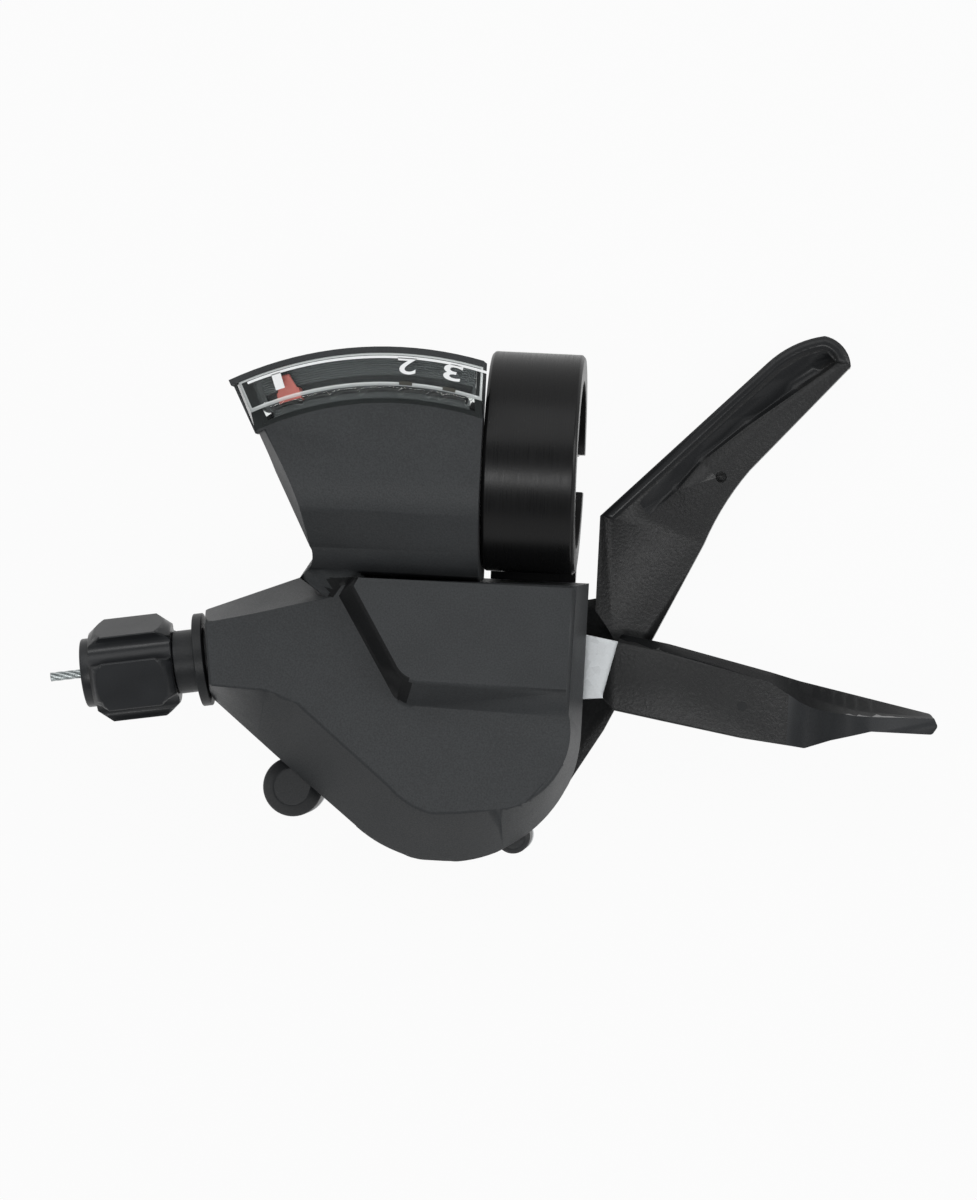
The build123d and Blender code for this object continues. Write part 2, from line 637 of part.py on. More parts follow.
def band_profile(radii, low, high):
    """A rectangle of (radius, height) points."""
    return [(radii[0], low), (radii[1], low), (radii[1], high), (radii[0], high)]


def display_spread():
    """Angle that the display runs on past the needle's ends of travel."""
    return degrees(FLAG_WIDTH / FLAG_START)


def needle_way(profile, spread):
    """The space that a profile sweeps over the needle's travel and a little past both ends."""
    start = 90 + NEEDLE_REST - NEEDLE_TRAVEL - spread
    return revolved(profile, NEEDLE, start, NEEDLE_TRAVEL + 2 * spread)


def upper_cover():
    """Moulded cover: skirted body, raised panel and display fan in one shell."""
    rim, face = rim_outline(), face_outline()
    foot, crest = panel_outlines()
    body = frustum(rim, RIM_Z, face, FACE_Z)
    body += frustum(foot, FACE_Z - WALL / 2, crest, PANEL_Z)
    body += fan_shell()
    body += fan_web()
    body -= frustum(inset(rim, WALL), RIM_Z, inset(face, WALL), ROOF_Z)
    body -= frustum(inset(foot, WALL), ROOF_Z - WALL / 2, inset(crest, WALL), PANEL_Z - WALL)
    # needle's way up into the display, the bed's seat and the opening for the flag
    half_width = NEEDLE_ARM / 2 + FREE_GAP
    foot_r, bend_r = NEEDLE_CLIMB[0][0] - 2 * WALL, NEEDLE_CLIMB[2][0]
    way = needle_way(needle_profile(FREE_GAP), degrees(half_width / foot_r))
    body -= way & disc(NEEDLE, bend_r, ROOF_Z - FAN_Z, FAN_Z)
    body -= needle_way(needle_profile(FREE_GAP), display_spread())
    opening = (FLAG_START - FREE_GAP, BED_R[0] + SEAT_FIT)
    body -= needle_way(band_profile(opening, NEEDLE_Z + NEEDLE_CLIMB[-1][1], LENS_TOP), display_spread())
    seat = (BED_R[0] - SEAT_FIT, BED_R[1] + SEAT_FIT)
    body -= needle_way(band_profile(seat, FAN_Z - BED_THICK, LENS_TOP), display_spread())
    # needle pin boss under the roof, screw pillar, and the adjuster's seat
    body += disc(NEEDLE, NEEDLE_HUB_R, NEEDLE_Z + NEEDLE_THICK / 2 + LAYER_GAP, FACE_Z - WALL / 2)
    body -= disc(NEEDLE, NEEDLE_PIN_R + SEAT_FIT, NEEDLE_Z, FACE_Z - WALL / 2)
    mid_wall = frustum(inset(rim, WALL / 2), RIM_Z, inset(face, WALL / 2), FACE_Z - WALL / 2)
    pillar = disc(PILLAR_AT, PILLAR_R, RIM_Z, FACE_Z) & mid_wall
    body += pillar + disc(PILLAR_AT, PILLAR_R, BASE_TOP, RIM_Z)
    body -= disc(PILLAR_AT, SCREW_R + SEAT_FIT, BASE_TOP, BASE_Z + COVER_SCREW + SCREW_SPARE)
    body -= rod(CABLE_FRAME, STEM_R + SEAT_FIT, STEM_BACK, FLANGE_FACE)
    body -= rod(CABLE_FRAME, FLANGE_R + FREE_GAP, FLANGE_BACK, FLANGE_FACE + NECK_SHOWN)
    return body


def lower_cover():
    """Moulded wall of the lower case, with its screw boss and lug."""
    rim = rim_outline()
    high, low = inset(rim, TRAY_INSET), inset(rim, TRAY_INSET + TRAY_DRAFT)
    body = frustum(low, BASE_TOP, high, RIM_Z)
    boss_top = RIM_Z - LAYER_GAP
    boss = disc(BOSS_CENTRE, BOSS_R, BASE_TOP, boss_top)
    boss = chamfer(boss.edges().sort_by(Axis.Z)[-1], BOSS_BEVEL)
    lug_top = RIM_Z - LUG_DROP
    lug = disc(LUG_CENTRE, LUG_R, BASE_TOP, lug_top)
    lug = chamfer(lug.edges().sort_by(Axis.Z)[-1], BOSS_BEVEL / 2)
    body += [boss, lug]
    body -= frustum(inset(low, WALL), BASE_TOP, inset(high, WALL), RIM_Z)
    for centre in (BOSS_CENTRE, LUG_CENTRE):
        body -= disc(centre, SCREW_R + SEAT_FIT, BASE_TOP, BASE_Z + COVER_SCREW + SCREW_SPARE)
    body -= disc(PILLAR_AT, PILLAR_R + LAYER_GAP, BASE_TOP, RIM_Z)
    body -= rod(CABLE_FRAME, STEM_R + SEAT_FIT, STEM_BACK, FLANGE_FACE)
    body -= rod(CABLE_FRAME, FLANGE_R + FREE_GAP, FLANGE_BACK, FLANGE_FACE + NECK_SHOWN)
    # ways out for the clamp's tongue and the trigger's arm
    tongue = [limit + side * SEAT_FIT for limit, side in zip(TONGUE_X, (-1, 1))]
    body -= block(tongue, (TONGUE_END_Y, BAR_SIDE_Y + WALL), (BASE_TOP, BASE_TOP + TONGUE_THICK + SEAT_FIT))
    swept = [turned(ARM_TOP_EDGE[0], TRIGGER_PIVOT, TRIGGER_TRAVEL)[1], ARM_LOWER_EDGE[-1][1]]
    slot_y = (swept[1] - FREE_GAP, swept[0] + 2 * FREE_GAP)
    body -= block((RIGHT_X - 3 * WALL, RIGHT_X + WALL), slot_y, (ARM_LOW - LAYER_GAP, ARM_TOP + LAYER_GAP))
    return body


def base_plate():
    """Steel plate that closes the case and carries the axle, the pins and the clamp's tongue."""
    rim = inset(rim_outline(), TRAY_INSET + TRAY_DRAFT)
    body = plate(Face(curved(rim)), BASE_Z, BASE_TOP)
    body += [disc(BOSS_CENTRE, BOSS_R, BASE_Z, BASE_TOP), disc(LUG_CENTRE, LUG_R, BASE_Z, BASE_TOP)]
    body -= disc(MAIN, BUSH_R + RUN_FIT, BASE_Z, BASE_TOP)
    for centre in (*COVER_SCREW_CENTRES, *((x, CLAMP_SCREW_Y) for x in CLAMP_SCREW_X)):
        body -= disc(centre, SCREW_R + SEAT_FIT, BASE_Z, BASE_TOP)
        body -= Pos(*centre, BASE_Z) * Cone(
            SCREW_HEAD_R + SEAT_FIT, SCREW_R + SEAT_FIT, SCREW_HEAD, align=(Align.CENTER, Align.CENTER, Align.MIN)
        )
    for centre, radius in ((TRIGGER_PIVOT, TRIGGER_PIN_R), (HOLD_PIVOT, PAWL_PIN_R)):
        body -= disc(centre, radius + SEAT_FIT, BASE_Z, BASE_TOP)
    return body


def clamp_band():
    """Split aluminium band with two bolt ears and a tongue into the case."""
    across = Plane.YZ.offset(-BAND_WIDTH / 2)
    body = rod(across, BAND_R, 0, BAND_WIDTH)
    body = chamfer(body.edges().filter_by(GeomType.CIRCLE), BAND_CHAMFER)
    half = EAR_WIDTH / 2
    ear_low = BOLT_Z - EAR_BELOW_BOLT
    front = (SPLIT_Y - SPLIT_GAP / 2 - FRONT_EAR, SPLIT_Y - SPLIT_GAP / 2)
    rear = (SPLIT_Y + SPLIT_GAP / 2, SPLIT_Y + SPLIT_GAP / 2 + REAR_EAR)
    for span in (front, rear):
        ear = block((-half, half), span, (ear_low, -BAR_R))
        body += fillet(ear.edges().filter_by(Axis.Y).group_by(Axis.Z)[0], EAR_FILLET)
    half = BAND_WIDTH / 2 - BAND_CHAMFER
    heights = (BASE_TOP, BASE_TOP + TONGUE_THICK)
    body += block((-half, half), (BAR_SIDE_Y + SEAT_FIT, front[1]), heights)
    body += block(TONGUE_X, (TONGUE_END_Y, front[1]), heights)
    body -= rod(across, BAR_R, -1, BAND_WIDTH + 1)
    body -= block((-BAND_WIDTH, BAND_WIDTH), (front[1], rear[0]), (ear_low, 0))
    bolt = Plane(origin=(0, rear[1], BOLT_Z), x_dir=(1, 0, 0), z_dir=(0, -1, 0))
    body -= rod(bolt, BOLT_R + RUN_FIT, 0, rear[1] - front[0])
    for x in CLAMP_SCREW_X:
        body -= disc((x, CLAMP_SCREW_Y), SCREW_R + SEAT_FIT, BASE_TOP, BASE_TOP + TONGUE_THICK)
    return body


def clamp_bolt():
    """Cap bolt that closes the band, with a hexagon socket."""
    rear = SPLIT_Y + SPLIT_GAP / 2 + REAR_EAR
    length = REAR_EAR + SPLIT_GAP + FRONT_EAR
    frame = Plane(origin=(0, rear, BOLT_Z), x_dir=(1, 0, 0), z_dir=(0, -1, 0))
    head = rod(frame, BOLT_HEAD_R, -BOLT_HEAD, 0)
    head = chamfer(head.edges().sort_by(Axis.Y)[-1], BAND_CHAMFER)
    socket = frame * Pos(0, 0, -BOLT_HEAD) * RegularPolygon(BOLT_SOCKET / 2, 6, major_radius=False)
    return head + rod(frame, BOLT_R, 0, length) - extrude(socket, amount=BOLT_SOCKET_DEPTH, dir=(0, -1, 0))


def screw(centre, length):
    """A countersunk screw driven upwards, its head flush with the base plate."""
    body = disc(centre, SCREW_R, BASE_Z, BASE_Z + length)
    body += Pos(*centre, BASE_Z) * Cone(
        SCREW_HEAD_R, SCREW_R, SCREW_HEAD, align=(Align.CENTER, Align.CENTER, Align.MIN)
    )
    arm = [SCREW_R * share for share in CROSS]
    cross = Rectangle(*arm) + Rectangle(*arm[::-1])
    return body - plate(Pos(*centre) * cross, BASE_Z, BASE_Z + SCREW_HEAD / 2)


def cover_screws():
    """Three screws through the base plate into the two covers."""
    return Compound(children=[screw(centre, COVER_SCREW) for centre in COVER_SCREW_CENTRES])


def clamp_screws():
    """Two screws through the base plate into the clamp's tongue."""
    return Compound(children=[screw((x, CLAMP_SCREW_Y), CLAMP_SCREW) for x in CLAMP_SCREW_X])


def display_lens():
    """Clear cover over the display, bevelled along its front edge."""
    reach = FAN_RIGHT_X - NEEDLE[0]
    start = degrees(atan2(LENS_FOOT_R, reach)) - degrees(LENS_HEIGHT / LENS_FOOT_R)
    end = 90 + LENS_LEFT
    lens = revolved(lens_profile(), NEEDLE, start, end + degrees(LENS_LEAN / LENS_FOOT_R) - start)
    lens -= side_cut((*polar(NEEDLE, LENS_BROW_R, end), LENS_TOP), end, LENS_LEAN, LENS_HEIGHT)
    hollow = revolved(hollow_profile(), NEEDLE, start, end - LENS_END - start)
    spans = ((NEEDLE[0] - FAN_R, FAN_RIGHT_X), (NEEDLE[1], NEEDLE[1] + FAN_R + WALL), (0, LENS_TOP))
    keep = block(*spans)
    keep_hollow = block((spans[0][0], FAN_RIGHT_X - LENS_WALL), *spans[1:])
    return (lens & keep) - (hollow & keep_hollow)


def display_bed():
    """Dark plate under the lens that carries the gear numbers."""
    spread = display_spread() - degrees(SEAT_FIT / BED_R[0])
    return needle_way(band_profile(BED_R, FAN_Z - BED_THICK, FAN_Z), spread)


def gear_needle():
    """Pointer that climbs over the bar into the display, with the slot that the winder's peg drives."""
    direction = 90 + NEEDLE_REST
    strip = make_face(Plane.XZ * Polyline(*needle_profile(0), close=True))
    strip = extrude(strip, amount=NEEDLE_ARM / 2, both=True)
    foot = NEEDLE_Z + NEEDLE_CLIMB[-1][1]
    half = NEEDLE_THICK / 2
    stem = block((FLAG_START, FLAG_BACK), (-FLAG_WIDTH / 2, FLAG_WIDTH / 2), (foot - half, FLAG_Z + half))
    ends = ((FLAG_START, FLAG_WIDTH / 2), (FLAG_START + FLAG_LENGTH, FLAG_WIDTH / 4))
    outline = [*ends, *((radius, -side) for radius, side in reversed(ends))]
    flag = plate(polygon(outline), FLAG_Z - half, FLAG_Z + half)
    pointer = Pos(*NEEDLE, 0) * Rot(0, 0, direction) * (strip + stem + flag)
    low, high = NEEDLE_Z - half, NEEDLE_Z + half
    path = []
    for share in (0.0, 0.25, 0.5, 0.75, 1.0):
        turn = -WINDER_TRAVEL * share
        path.append(turned(polar(MAIN, PEG_ARM, PEG_AT + turn), NEEDLE, -turn * NEEDLE_RATIO))
    sketch = spot(NEEDLE, NEEDLE_HUB_R)
    for point in path:
        sketch += capsule(NEEDLE, point, 2 * PEG_R)
    for first, second in zip(path, path[1:]):
        sketch -= capsule(first, second, PEG_R + PEG_SLOT_FIT)
    body = pointer + plate(sketch, low, high)
    return body - disc(NEEDLE, NEEDLE_PIN_R + RUN_FIT, low, high)


def needle_pin():
    """Headed pin on which the needle turns, pressed into the cover's roof."""
    low = NEEDLE_Z - NEEDLE_THICK / 2 - LAYER_GAP
    head = disc(NEEDLE, NEEDLE_PIN_R + NEEDLE_PIN_HEAD, low - NEEDLE_THICK, low)
    return head + disc(NEEDLE, NEEDLE_PIN_R, low, FACE_Z - WALL / 2)


def cable_winder():
    """Grooved drum that pulls the cable, with the needle's peg and the nipple's pocket."""
    half = GROOVE_WIDTH / 2
    floor = WIND_R - CABLE_R - RUN_FIT
    profile = [
        (AXLE_R + RUN_FIT, WINDER_LOW), (WINDER_R, WINDER_LOW), (WINDER_R, CABLE_Z - half),
        (floor, CABLE_Z - half), (floor, CABLE_Z + half), (WINDER_R, CABLE_Z + half),
        (WINDER_R, WINDER_TOP), (AXLE_R + RUN_FIT, WINDER_TOP),
    ]
    body = revolved(profile, MAIN, 0, 360)
    body += disc(polar(MAIN, PEG_ARM, PEG_AT), PEG_R, WINDER_TOP, NEEDLE_Z + NEEDLE_THICK)
    for centre in rivet_centres():
        body -= disc(centre, RIVET_R + SEAT_FIT, WINDER_LOW, WINDER_LOW + RIVET_LENGTH + SEAT_FIT)
    pocket = nipple_frame()
    body -= rod(pocket, NIPPLE_R + NIPPLE_FIT, -NIPPLE_FIT, NIPPLE_LENGTH + NIPPLE_FIT)
    return body


def nipple_frame():
    """Axis of the cable's nipple, along the wound cable where it ends."""
    end = polar(MAIN, WIND_R, NIPPLE_AT)
    return Plane(origin=(*end, CABLE_Z), x_dir=(0, 0, 1), z_dir=(*polar((0, 0), 1, NIPPLE_AT - 90), 0))


def rivet_centres():
    """Places of the three pegs that turn the winder with the ratchet."""
    return [polar(MAIN, RIVET_RING, angle) for angle in (0, 120, 240)]


def ratchet_plate():
    """Toothed steel plate under the winder, with the pegs that join the two."""
    sketch = Circle(RATCHET_R) - Circle(AXLE_R + RUN_FIT)
    for angle in TOOTH_ANGLES:
        sketch -= polygon([
            polar((0, 0), RATCHET_R + TOOTH_OPEN, angle + TOOTH_FLANKS[0]),
            polar((0, 0), RATCHET_R - TOOTH_DEPTH, angle),
            polar((0, 0), RATCHET_R + TOOTH_OPEN, angle + TOOTH_FLANKS[1]),
        ])
    body = plate(Pos(*MAIN) * sketch, RATCHET_LOW, WINDER_LOW)
    for centre in rivet_centres():
        body += disc(centre, RIVET_R, WINDER_LOW, WINDER_LOW + RIVET_LENGTH)
    return body


def inner_cable():
    """Inner wire from its nipple in the winder, out through the adjuster."""
    straight = rod(CABLE_FRAME, CABLE_R, 0, KNOB_END + CABLE_STUB)
    sweep_angle = 90 + CABLE_TILT - NIPPLE_AT
    section = Plane(origin=(*polar(MAIN, WIND_R, NIPPLE_AT), CABLE_Z), z_dir=nipple_frame().z_dir) * Circle(CABLE_R)
    wound = revolve(section, axis=Axis((*MAIN, 0), (0, 0, 1)), revolution_arc=sweep_angle)
    return straight + wound + rod(nipple_frame(), NIPPLE_R, 0, NIPPLE_LENGTH)


def main_axle():
    """Headed axle through the lever, the base plate and the winder."""
    head_top = HUB_LOW - LAYER_GAP / 2
    top = WINDER_TOP + LAYER_GAP + WASHER_THICK + NUT_THICK
    return disc(MAIN, AXLE_HEAD_R, head_top - AXLE_HEAD, head_top) + disc(MAIN, AXLE_R, head_top, top)


def axle_washer():
    """Thin washer under the axle's nut."""
    low = WINDER_TOP + LAYER_GAP
    return ring(MAIN, WASHER_R, AXLE_R + SEAT_FIT, low, low + WASHER_THICK)


def axle_nut():
    """Hexagon nut on the axle's upper end."""
    low = WINDER_TOP + LAYER_GAP + WASHER_THICK
    sketch = RegularPolygon(NUT_FLATS / 2, 6, major_radius=False) - Circle(AXLE_R + SEAT_FIT)
    return plate(Pos(*MAIN) * sketch, low, low + NUT_THICK)


def spring_on_axle(low, high):
    """A flat spiral spring round the lever's bush."""
    return plate(Pos(*MAIN) * spiral(BUSH_R + LAYER_GAP, SPIRAL_TURNS), low, high)


def winder_spring():
    """Spiral spring that turns the winder back."""
    middle = (RATCHET_LOW + PLATE_TOP) / 2
    return spring_on_axle(middle + LAYER_GAP / 2, RATCHET_LOW - LAYER_GAP)


def thumb_lever_spring():
    """Spiral spring that brings the thumb lever back."""
    middle = (RATCHET_LOW + PLATE_TOP) / 2
    return spring_on_axle(PLATE_TOP + LAYER_GAP / 2, middle - LAYER_GAP / 2)


def lever_outline():
    """The thumb lever's plan, from its root along the thumb edge, round the tip and back to the heel."""
    first, tip_a, tip_b, tip_c, last = BLADE_TIP
    return [
        (BLADE_ROOT_TOP, None),
        (first, tip_a),
        (tip_b, tip_c),
        (last, None),
        (BLADE_WAIST[0], BLADE_WAIST[1]),
        (BLADE_WAIST[2], None),
        (BLADE_HEEL[0], None),
        (BLADE_HEEL[1], None),
        (MAIN, None),
        (polar(MAIN, HUB_R - LAYER_GAP, HUB_NECK[0]), None),
        ((BLADE_LEFT_X, polar(MAIN, HUB_R, 90)[1] + HUB_NECK[1]), None),
    ]


def trough():
    """The hollow along the thumb edge, as a solid to cut away."""
    span = shifted(BLADE_TIP[0], BLADE_ROOT_TOP, -1.0)
    length = hypot(*span)
    along = (span[0] / length, span[1] / length)
    inward = (along[1], -along[0])
    sections = []
    for distance, rim, crease, depth in TROUGH:
        foot = shifted(BLADE_ROOT_TOP, along, distance)
        width = crease - rim
        form = [(rim, BLADE_TOP + SEAT_FIT)]
        form += [(rim + width * share, BLADE_TOP - depth * down) for share, down in TROUGH_FORM]
        form += [(crease, BLADE_TOP + SEAT_FIT)]
        sections.append([(*shifted(foot, inward, side), z) for side, z in form])
    return lofted(sections)


def thumb_lever():
    """Moulded lever: hub under the case, thick blade outside it and a flange for the thumb."""
    outline = lever_outline()
    plan = Face(curved(outline))
    body = plate(plan, HUB_LOW, HUB_TOP) + disc(MAIN, HUB_R, HUB_LOW, HUB_TOP)
    right = max(point[0] for point in BLADE_TIP) + WALL
    low, high = BLADE_HEEL[1][1], max(point[1] for point in BLADE_TIP) + WALL
    outside = block((BLADE_LEFT_X, right), (low, high), (BLADE_TOP - FLANGE_DROP, BLADE_TOP + WALL))
    blade = plate(plan, HUB_LOW, BLADE_TOP) & outside
    body += blade - disc(MAIN, BLADE_FROM_R, HUB_LOW, BLADE_TOP)
    inner = inset(outline, FLANGE_WALL)
    band = Curve() + [
        Line(outline[0][0], outline[1][0]),
        ThreePointArc(outline[1][0], outline[1][1], outline[2][0]),
        ThreePointArc(outline[2][0], outline[2][1], outline[3][0]),
        Line(outline[3][0], inner[3][0]),
        ThreePointArc(inner[3][0], inner[2][1], inner[2][0]),
        ThreePointArc(inner[2][0], inner[1][1], inner[1][0]),
        Line(inner[1][0], inner[0][0]),
        Line(inner[0][0], outline[0][0]),
    ]
    flange = plate(make_face(band), BLADE_TOP - FLANGE_DROP, BLADE_TOP + LAYER_GAP)
    flange = fillet((flange & outside).edges().group_by(Axis.Z)[-1], FLANGE_ROLL)
    body += flange
    body -= trough()
    body -= disc(BLADE_HOLE, BLADE_HOLE_R, BLADE_TOP - BLADE_HOLE_DEPTH, BLADE_TOP)
    return body - disc(MAIN, BUSH_R + SEAT_FIT, HUB_LOW, HUB_TOP)


def lever_bush():
    """Sleeve on the axle that joins the thumb lever to its plate inside the case."""
    return ring(MAIN, BUSH_R, AXLE_R + RUN_FIT, HUB_LOW, PLATE_TOP)


def lever_plate():
    """Steel arm inside the case that carries the feed pawl."""
    pin = polar(MAIN, FEED_ARM, FEED_AT)
    sketch = spot(MAIN, BUSH_R + LEVER_PLATE_RIM) + capsule(MAIN, pin, PAWL_HUB_R + LEVER_PLATE_EDGE)
    sketch -= spot(MAIN, BUSH_R + SEAT_FIT) + spot(pin, PAWL_PIN_R + SEAT_FIT)
    return plate(sketch, PLATE_LOW, PLATE_TOP)


def feed_pawl_pin():
    """Pin of the feed pawl, riveted into the lever plate."""
    return disc(polar(MAIN, FEED_ARM, FEED_AT), PAWL_PIN_R, PLATE_LOW, PAWL_TOP)


def feed_pawl():
    """Pawl that pushes the ratchet round when the thumb lever is pressed."""
    pin = polar(MAIN, FEED_ARM, FEED_AT)
    nose = polar(MAIN, RATCHET_R + PAWL_GAP + PAWL_NOSE_R, FEED_NOSE_AT)
    body = plate(spot(pin, PAWL_HUB_R) + capsule(pin, nose, PAWL_NOSE_R), PAWL_LOW, PAWL_TOP)
    return body - disc(pin, PAWL_PIN_R + RUN_FIT, PAWL_LOW, PAWL_TOP)


def feed_pawl_spring():
    """Coil spring round the feed pawl's pin, on the lever plate."""
    return pin_spring(polar(MAIN, FEED_ARM, FEED_AT), PAWL_PIN_R, PLATE_TOP)


def tail_peg():
    """Centre of the peg on the trigger's tail, on the line between the two pivots."""
    length = hypot(HOLD_PIVOT[0] - TRIGGER_PIVOT[0], HOLD_PIVOT[1] - TRIGGER_PIVOT[1])
    return shifted(TRIGGER_PIVOT, shifted(HOLD_PIVOT, TRIGGER_PIVOT, -1.0), TAIL_LENGTH / length)


def trigger_arm():
    """Steel arm of the release trigger, with a peg that lifts the holding pawl."""
    top = shifted(TRIGGER_PIVOT, (0, TRIGGER_EYE_R))
    low = shifted(TRIGGER_PIVOT, (0, -TRIGGER_EYE_R))
    sketch = spot(TRIGGER_PIVOT, TRIGGER_EYE_R) + polygon([top, *ARM_TOP_EDGE, *ARM_LOWER_EDGE, low])
    sketch += capsule(TRIGGER_PIVOT, tail_peg(), TAIL_WIDTH / 2)
    sketch -= spot(TRIGGER_PIVOT, TRIGGER_PIN_R + RUN_FIT)
    return plate(sketch, ARM_LOW, ARM_TOP) + disc(tail_peg(), TAIL_PEG_R, ARM_TOP, PAWL_TOP)


def trigger_cap():
    """Moulded finger piece pushed over the trigger's arm."""
    front = min(point[1] for point in CAP_LOWER) - CAP_WALL
    foot = CAP_LOW + CAP_WALL
    sections = []
    for x in CAP_STATIONS:
        share = eased(x, *PADDLE_RISE[:2])
        top = CAP_HIGH + PADDLE_RISE[2] * share - CAP_SLOPE[2] * (1 - eased(x, *CAP_SLOPE[:2]))
        ridge, back = level(CAP_RIDGE, x), level(CAP_TOP, x)
        middle = (ridge + (back - ridge) * (0.5 - PADDLE_HOLLOW * share), (top + foot) / 2)
        form = [(front, top), (ridge, top), middle, (back, foot), (back, CAP_LOW), (front, CAP_LOW)]
        sections.append([(x, y, z) for y, z in form])
    plan = polygon([*CAP_TOP, CAP_TIP, *CAP_LOWER])
    plan = fillet(plan.vertices(), CAP_CORNER)
    body = lofted(sections) & plate(plan, CAP_LOW, CAP_HIGH + PADDLE_RISE[2])
    up, out, down = (0, CAP_FIT), (CAP_FIT, CAP_FIT), (0, -CAP_FIT)
    sleeve = polygon([
        shifted(ARM_TOP_EDGE[0], up), shifted(ARM_TOP_EDGE[1], up), shifted(ARM_TOP_EDGE[2], out),
        shifted(ARM_LOWER_EDGE[0], (CAP_FIT, -CAP_FIT)), shifted(ARM_LOWER_EDGE[1], down),
        shifted(ARM_LOWER_EDGE[2], down),
    ])
    return body - plate(sleeve, ARM_LOW - SEAT_FIT, ARM_TOP + SEAT_FIT)


def trigger_pin():
    """Headed pin of the trigger, riveted into the base plate."""
    neck = ARM_TOP + LAYER_GAP
    return disc(TRIGGER_PIVOT, TRIGGER_PIN_R, BASE_Z, neck) + disc(TRIGGER_PIVOT, PIN_HEAD_R, neck, neck + PIN_HEAD)


def trigger_spring():
    """Coil spring round the trigger's pin that brings the trigger back."""
    return pin_spring(TRIGGER_PIVOT, TRIGGER_PIN_R, ARM_LOW - COIL_SPRING)


def holding_pawl():
    """Pawl that holds the ratchet in each gear until the trigger lifts it."""
    peg = tail_peg()
    span = hypot(HOLD_PIVOT[0] - peg[0], HOLD_PIVOT[1] - peg[1])
    along = ((peg[0] - HOLD_PIVOT[0]) / span, (peg[1] - HOLD_PIVOT[1]) / span)
    away = (along[1], -along[0])
    tail = shifted(peg, away, TAIL_PEG_R + PAWL_GAP + PAWL_NOSE_R)
    nose = polar(MAIN, RATCHET_R + PAWL_GAP + PAWL_NOSE_R, HOLD_NOSE_AT)
    sketch = spot(HOLD_PIVOT, PAWL_HUB_R) + capsule(HOLD_PIVOT, tail, PAWL_NOSE_R) + capsule(HOLD_PIVOT, nose, PAWL_NOSE_R)
    return plate(sketch - spot(HOLD_PIVOT, PAWL_PIN_R + RUN_FIT), PAWL_LOW, PAWL_TOP)


def holding_pawl_pin():
    """Shouldered pin of the holding pawl, riveted into the base plate."""
    post = disc(HOLD_PIVOT, PAWL_PIN_R, BASE_Z, PAWL_TOP)
    return post + disc(HOLD_PIVOT, PAWL_HUB_R - COLLAR_STEP, BASE_TOP, PAWL_LOW - COIL_SPRING)


def holding_pawl_spring():
    """Coil spring on the pin's shoulder that presses the holding pawl in."""
    return pin_spring(HOLD_PIVOT, PAWL_PIN_R, PAWL_LOW - COIL_SPRING, HOLD_LEGS_AT)


def adjuster_boss():
    """Flanged boss in the case's end, in which the adjuster's barrel slides."""
    body = rod(CABLE_FRAME, STEM_R, STEM_BACK, KNOB_START - RUN_FIT)
    body += rod(CABLE_FRAME, FLANGE_R, FLANGE_BACK, FLANGE_FACE)
    body -= rod(CABLE_FRAME, BARREL_R + RUN_FIT, STEM_BACK + STEM_END, KNOB_START)
    return body - rod(CABLE_FRAME, CABLE_HOLE_R, STEM_BACK, KNOB_START)


def adjuster_barrel():
    """Sliding barrel that carries the knob."""
    back, front = KNOB_START - BARREL_HIDDEN, KNOB_START + SPIGOT_LENGTH
    return rod(CABLE_FRAME, BARREL_R, back, front) - rod(CABLE_FRAME, CABLE_HOLE_R, back, front)


def adjuster_knob():
    """Knob with four grip pads and the socket that takes the end of the cable's casing."""
    pads = Rectangle(2 * KNOB_FLAT, 2 * KNOB_FLAT)
    for quarter in (45, 135, 225, 315):
        pads -= spot(polar((0, 0), KNOB_VALLEY[0], quarter), KNOB_VALLEY[1])
    length = KNOB_LENGTH - KNOB_RIM
    envelope = Cylinder(KNOB_R, length, align=(Align.CENTER, Align.CENTER, Align.MIN))
    envelope = chamfer(envelope.edges().filter_by(GeomType.CIRCLE), *KNOB_BEVEL)
    knob = CABLE_FRAME * Pos(0, 0, KNOB_START) * Rot(0, 0, KNOB_TURN) * (extrude(pads, amount=length) & envelope)
    knob += rod(CABLE_FRAME, KNOB_RIM_R, KNOB_END - KNOB_RIM, KNOB_END)
    knob -= rod(CABLE_FRAME, BARREL_R + RUN_FIT, KNOB_START, KNOB_START + SPIGOT_LENGTH + RUN_FIT)
    knob -= rod(CABLE_FRAME, CABLE_HOLE_R, KNOB_START, KNOB_END)
    return knob - rod(CABLE_FRAME, CASING_R + RUN_FIT, KNOB_END - CASING_DEPTH, KNOB_END)


def adjuster_spring():
    """Coil spring behind the barrel that keeps the adjuster from turning by itself."""
    start = STEM_BACK + STEM_END + COIL_WIRE / 2
    end = KNOB_START - BARREL_HIDDEN - COIL_WIRE / 2
    return CABLE_FRAME * Pos(0, 0, start) * coil(BARREL_R - COIL_WIRE, COIL_TURNS, (end - start) / COIL_TURNS)


PIECES = (
    clamp_band, clamp_bolt, clamp_screws, upper_cover, lower_cover, base_plate, cover_screws,
    display_lens, display_bed, gear_needle, needle_pin,
    main_axle, axle_washer, axle_nut, cable_winder, ratchet_plate, winder_spring, inner_cable,
    thumb_lever, lever_bush, lever_plate, thumb_lever_spring, feed_pawl_pin, feed_pawl, feed_pawl_spring,
    trigger_arm, trigger_cap, trigger_pin, trigger_spring,
    holding_pawl, holding_pawl_pin, holding_pawl_spring,
    adjuster_boss, adjuster_barrel, adjuster_knob, adjuster_spring,
)

os.makedirs("parts", exist_ok=True)
for piece in PIECES:
    export_step(piece(), f"parts/{piece.__name__}.step")
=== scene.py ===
"""Looks of a trigger gear shifter: its finishes, display print, stranded wire and studio."""

import json
import logging
from dataclasses import dataclass
from enum import Enum
from math import cos, degrees, pi, radians, sin

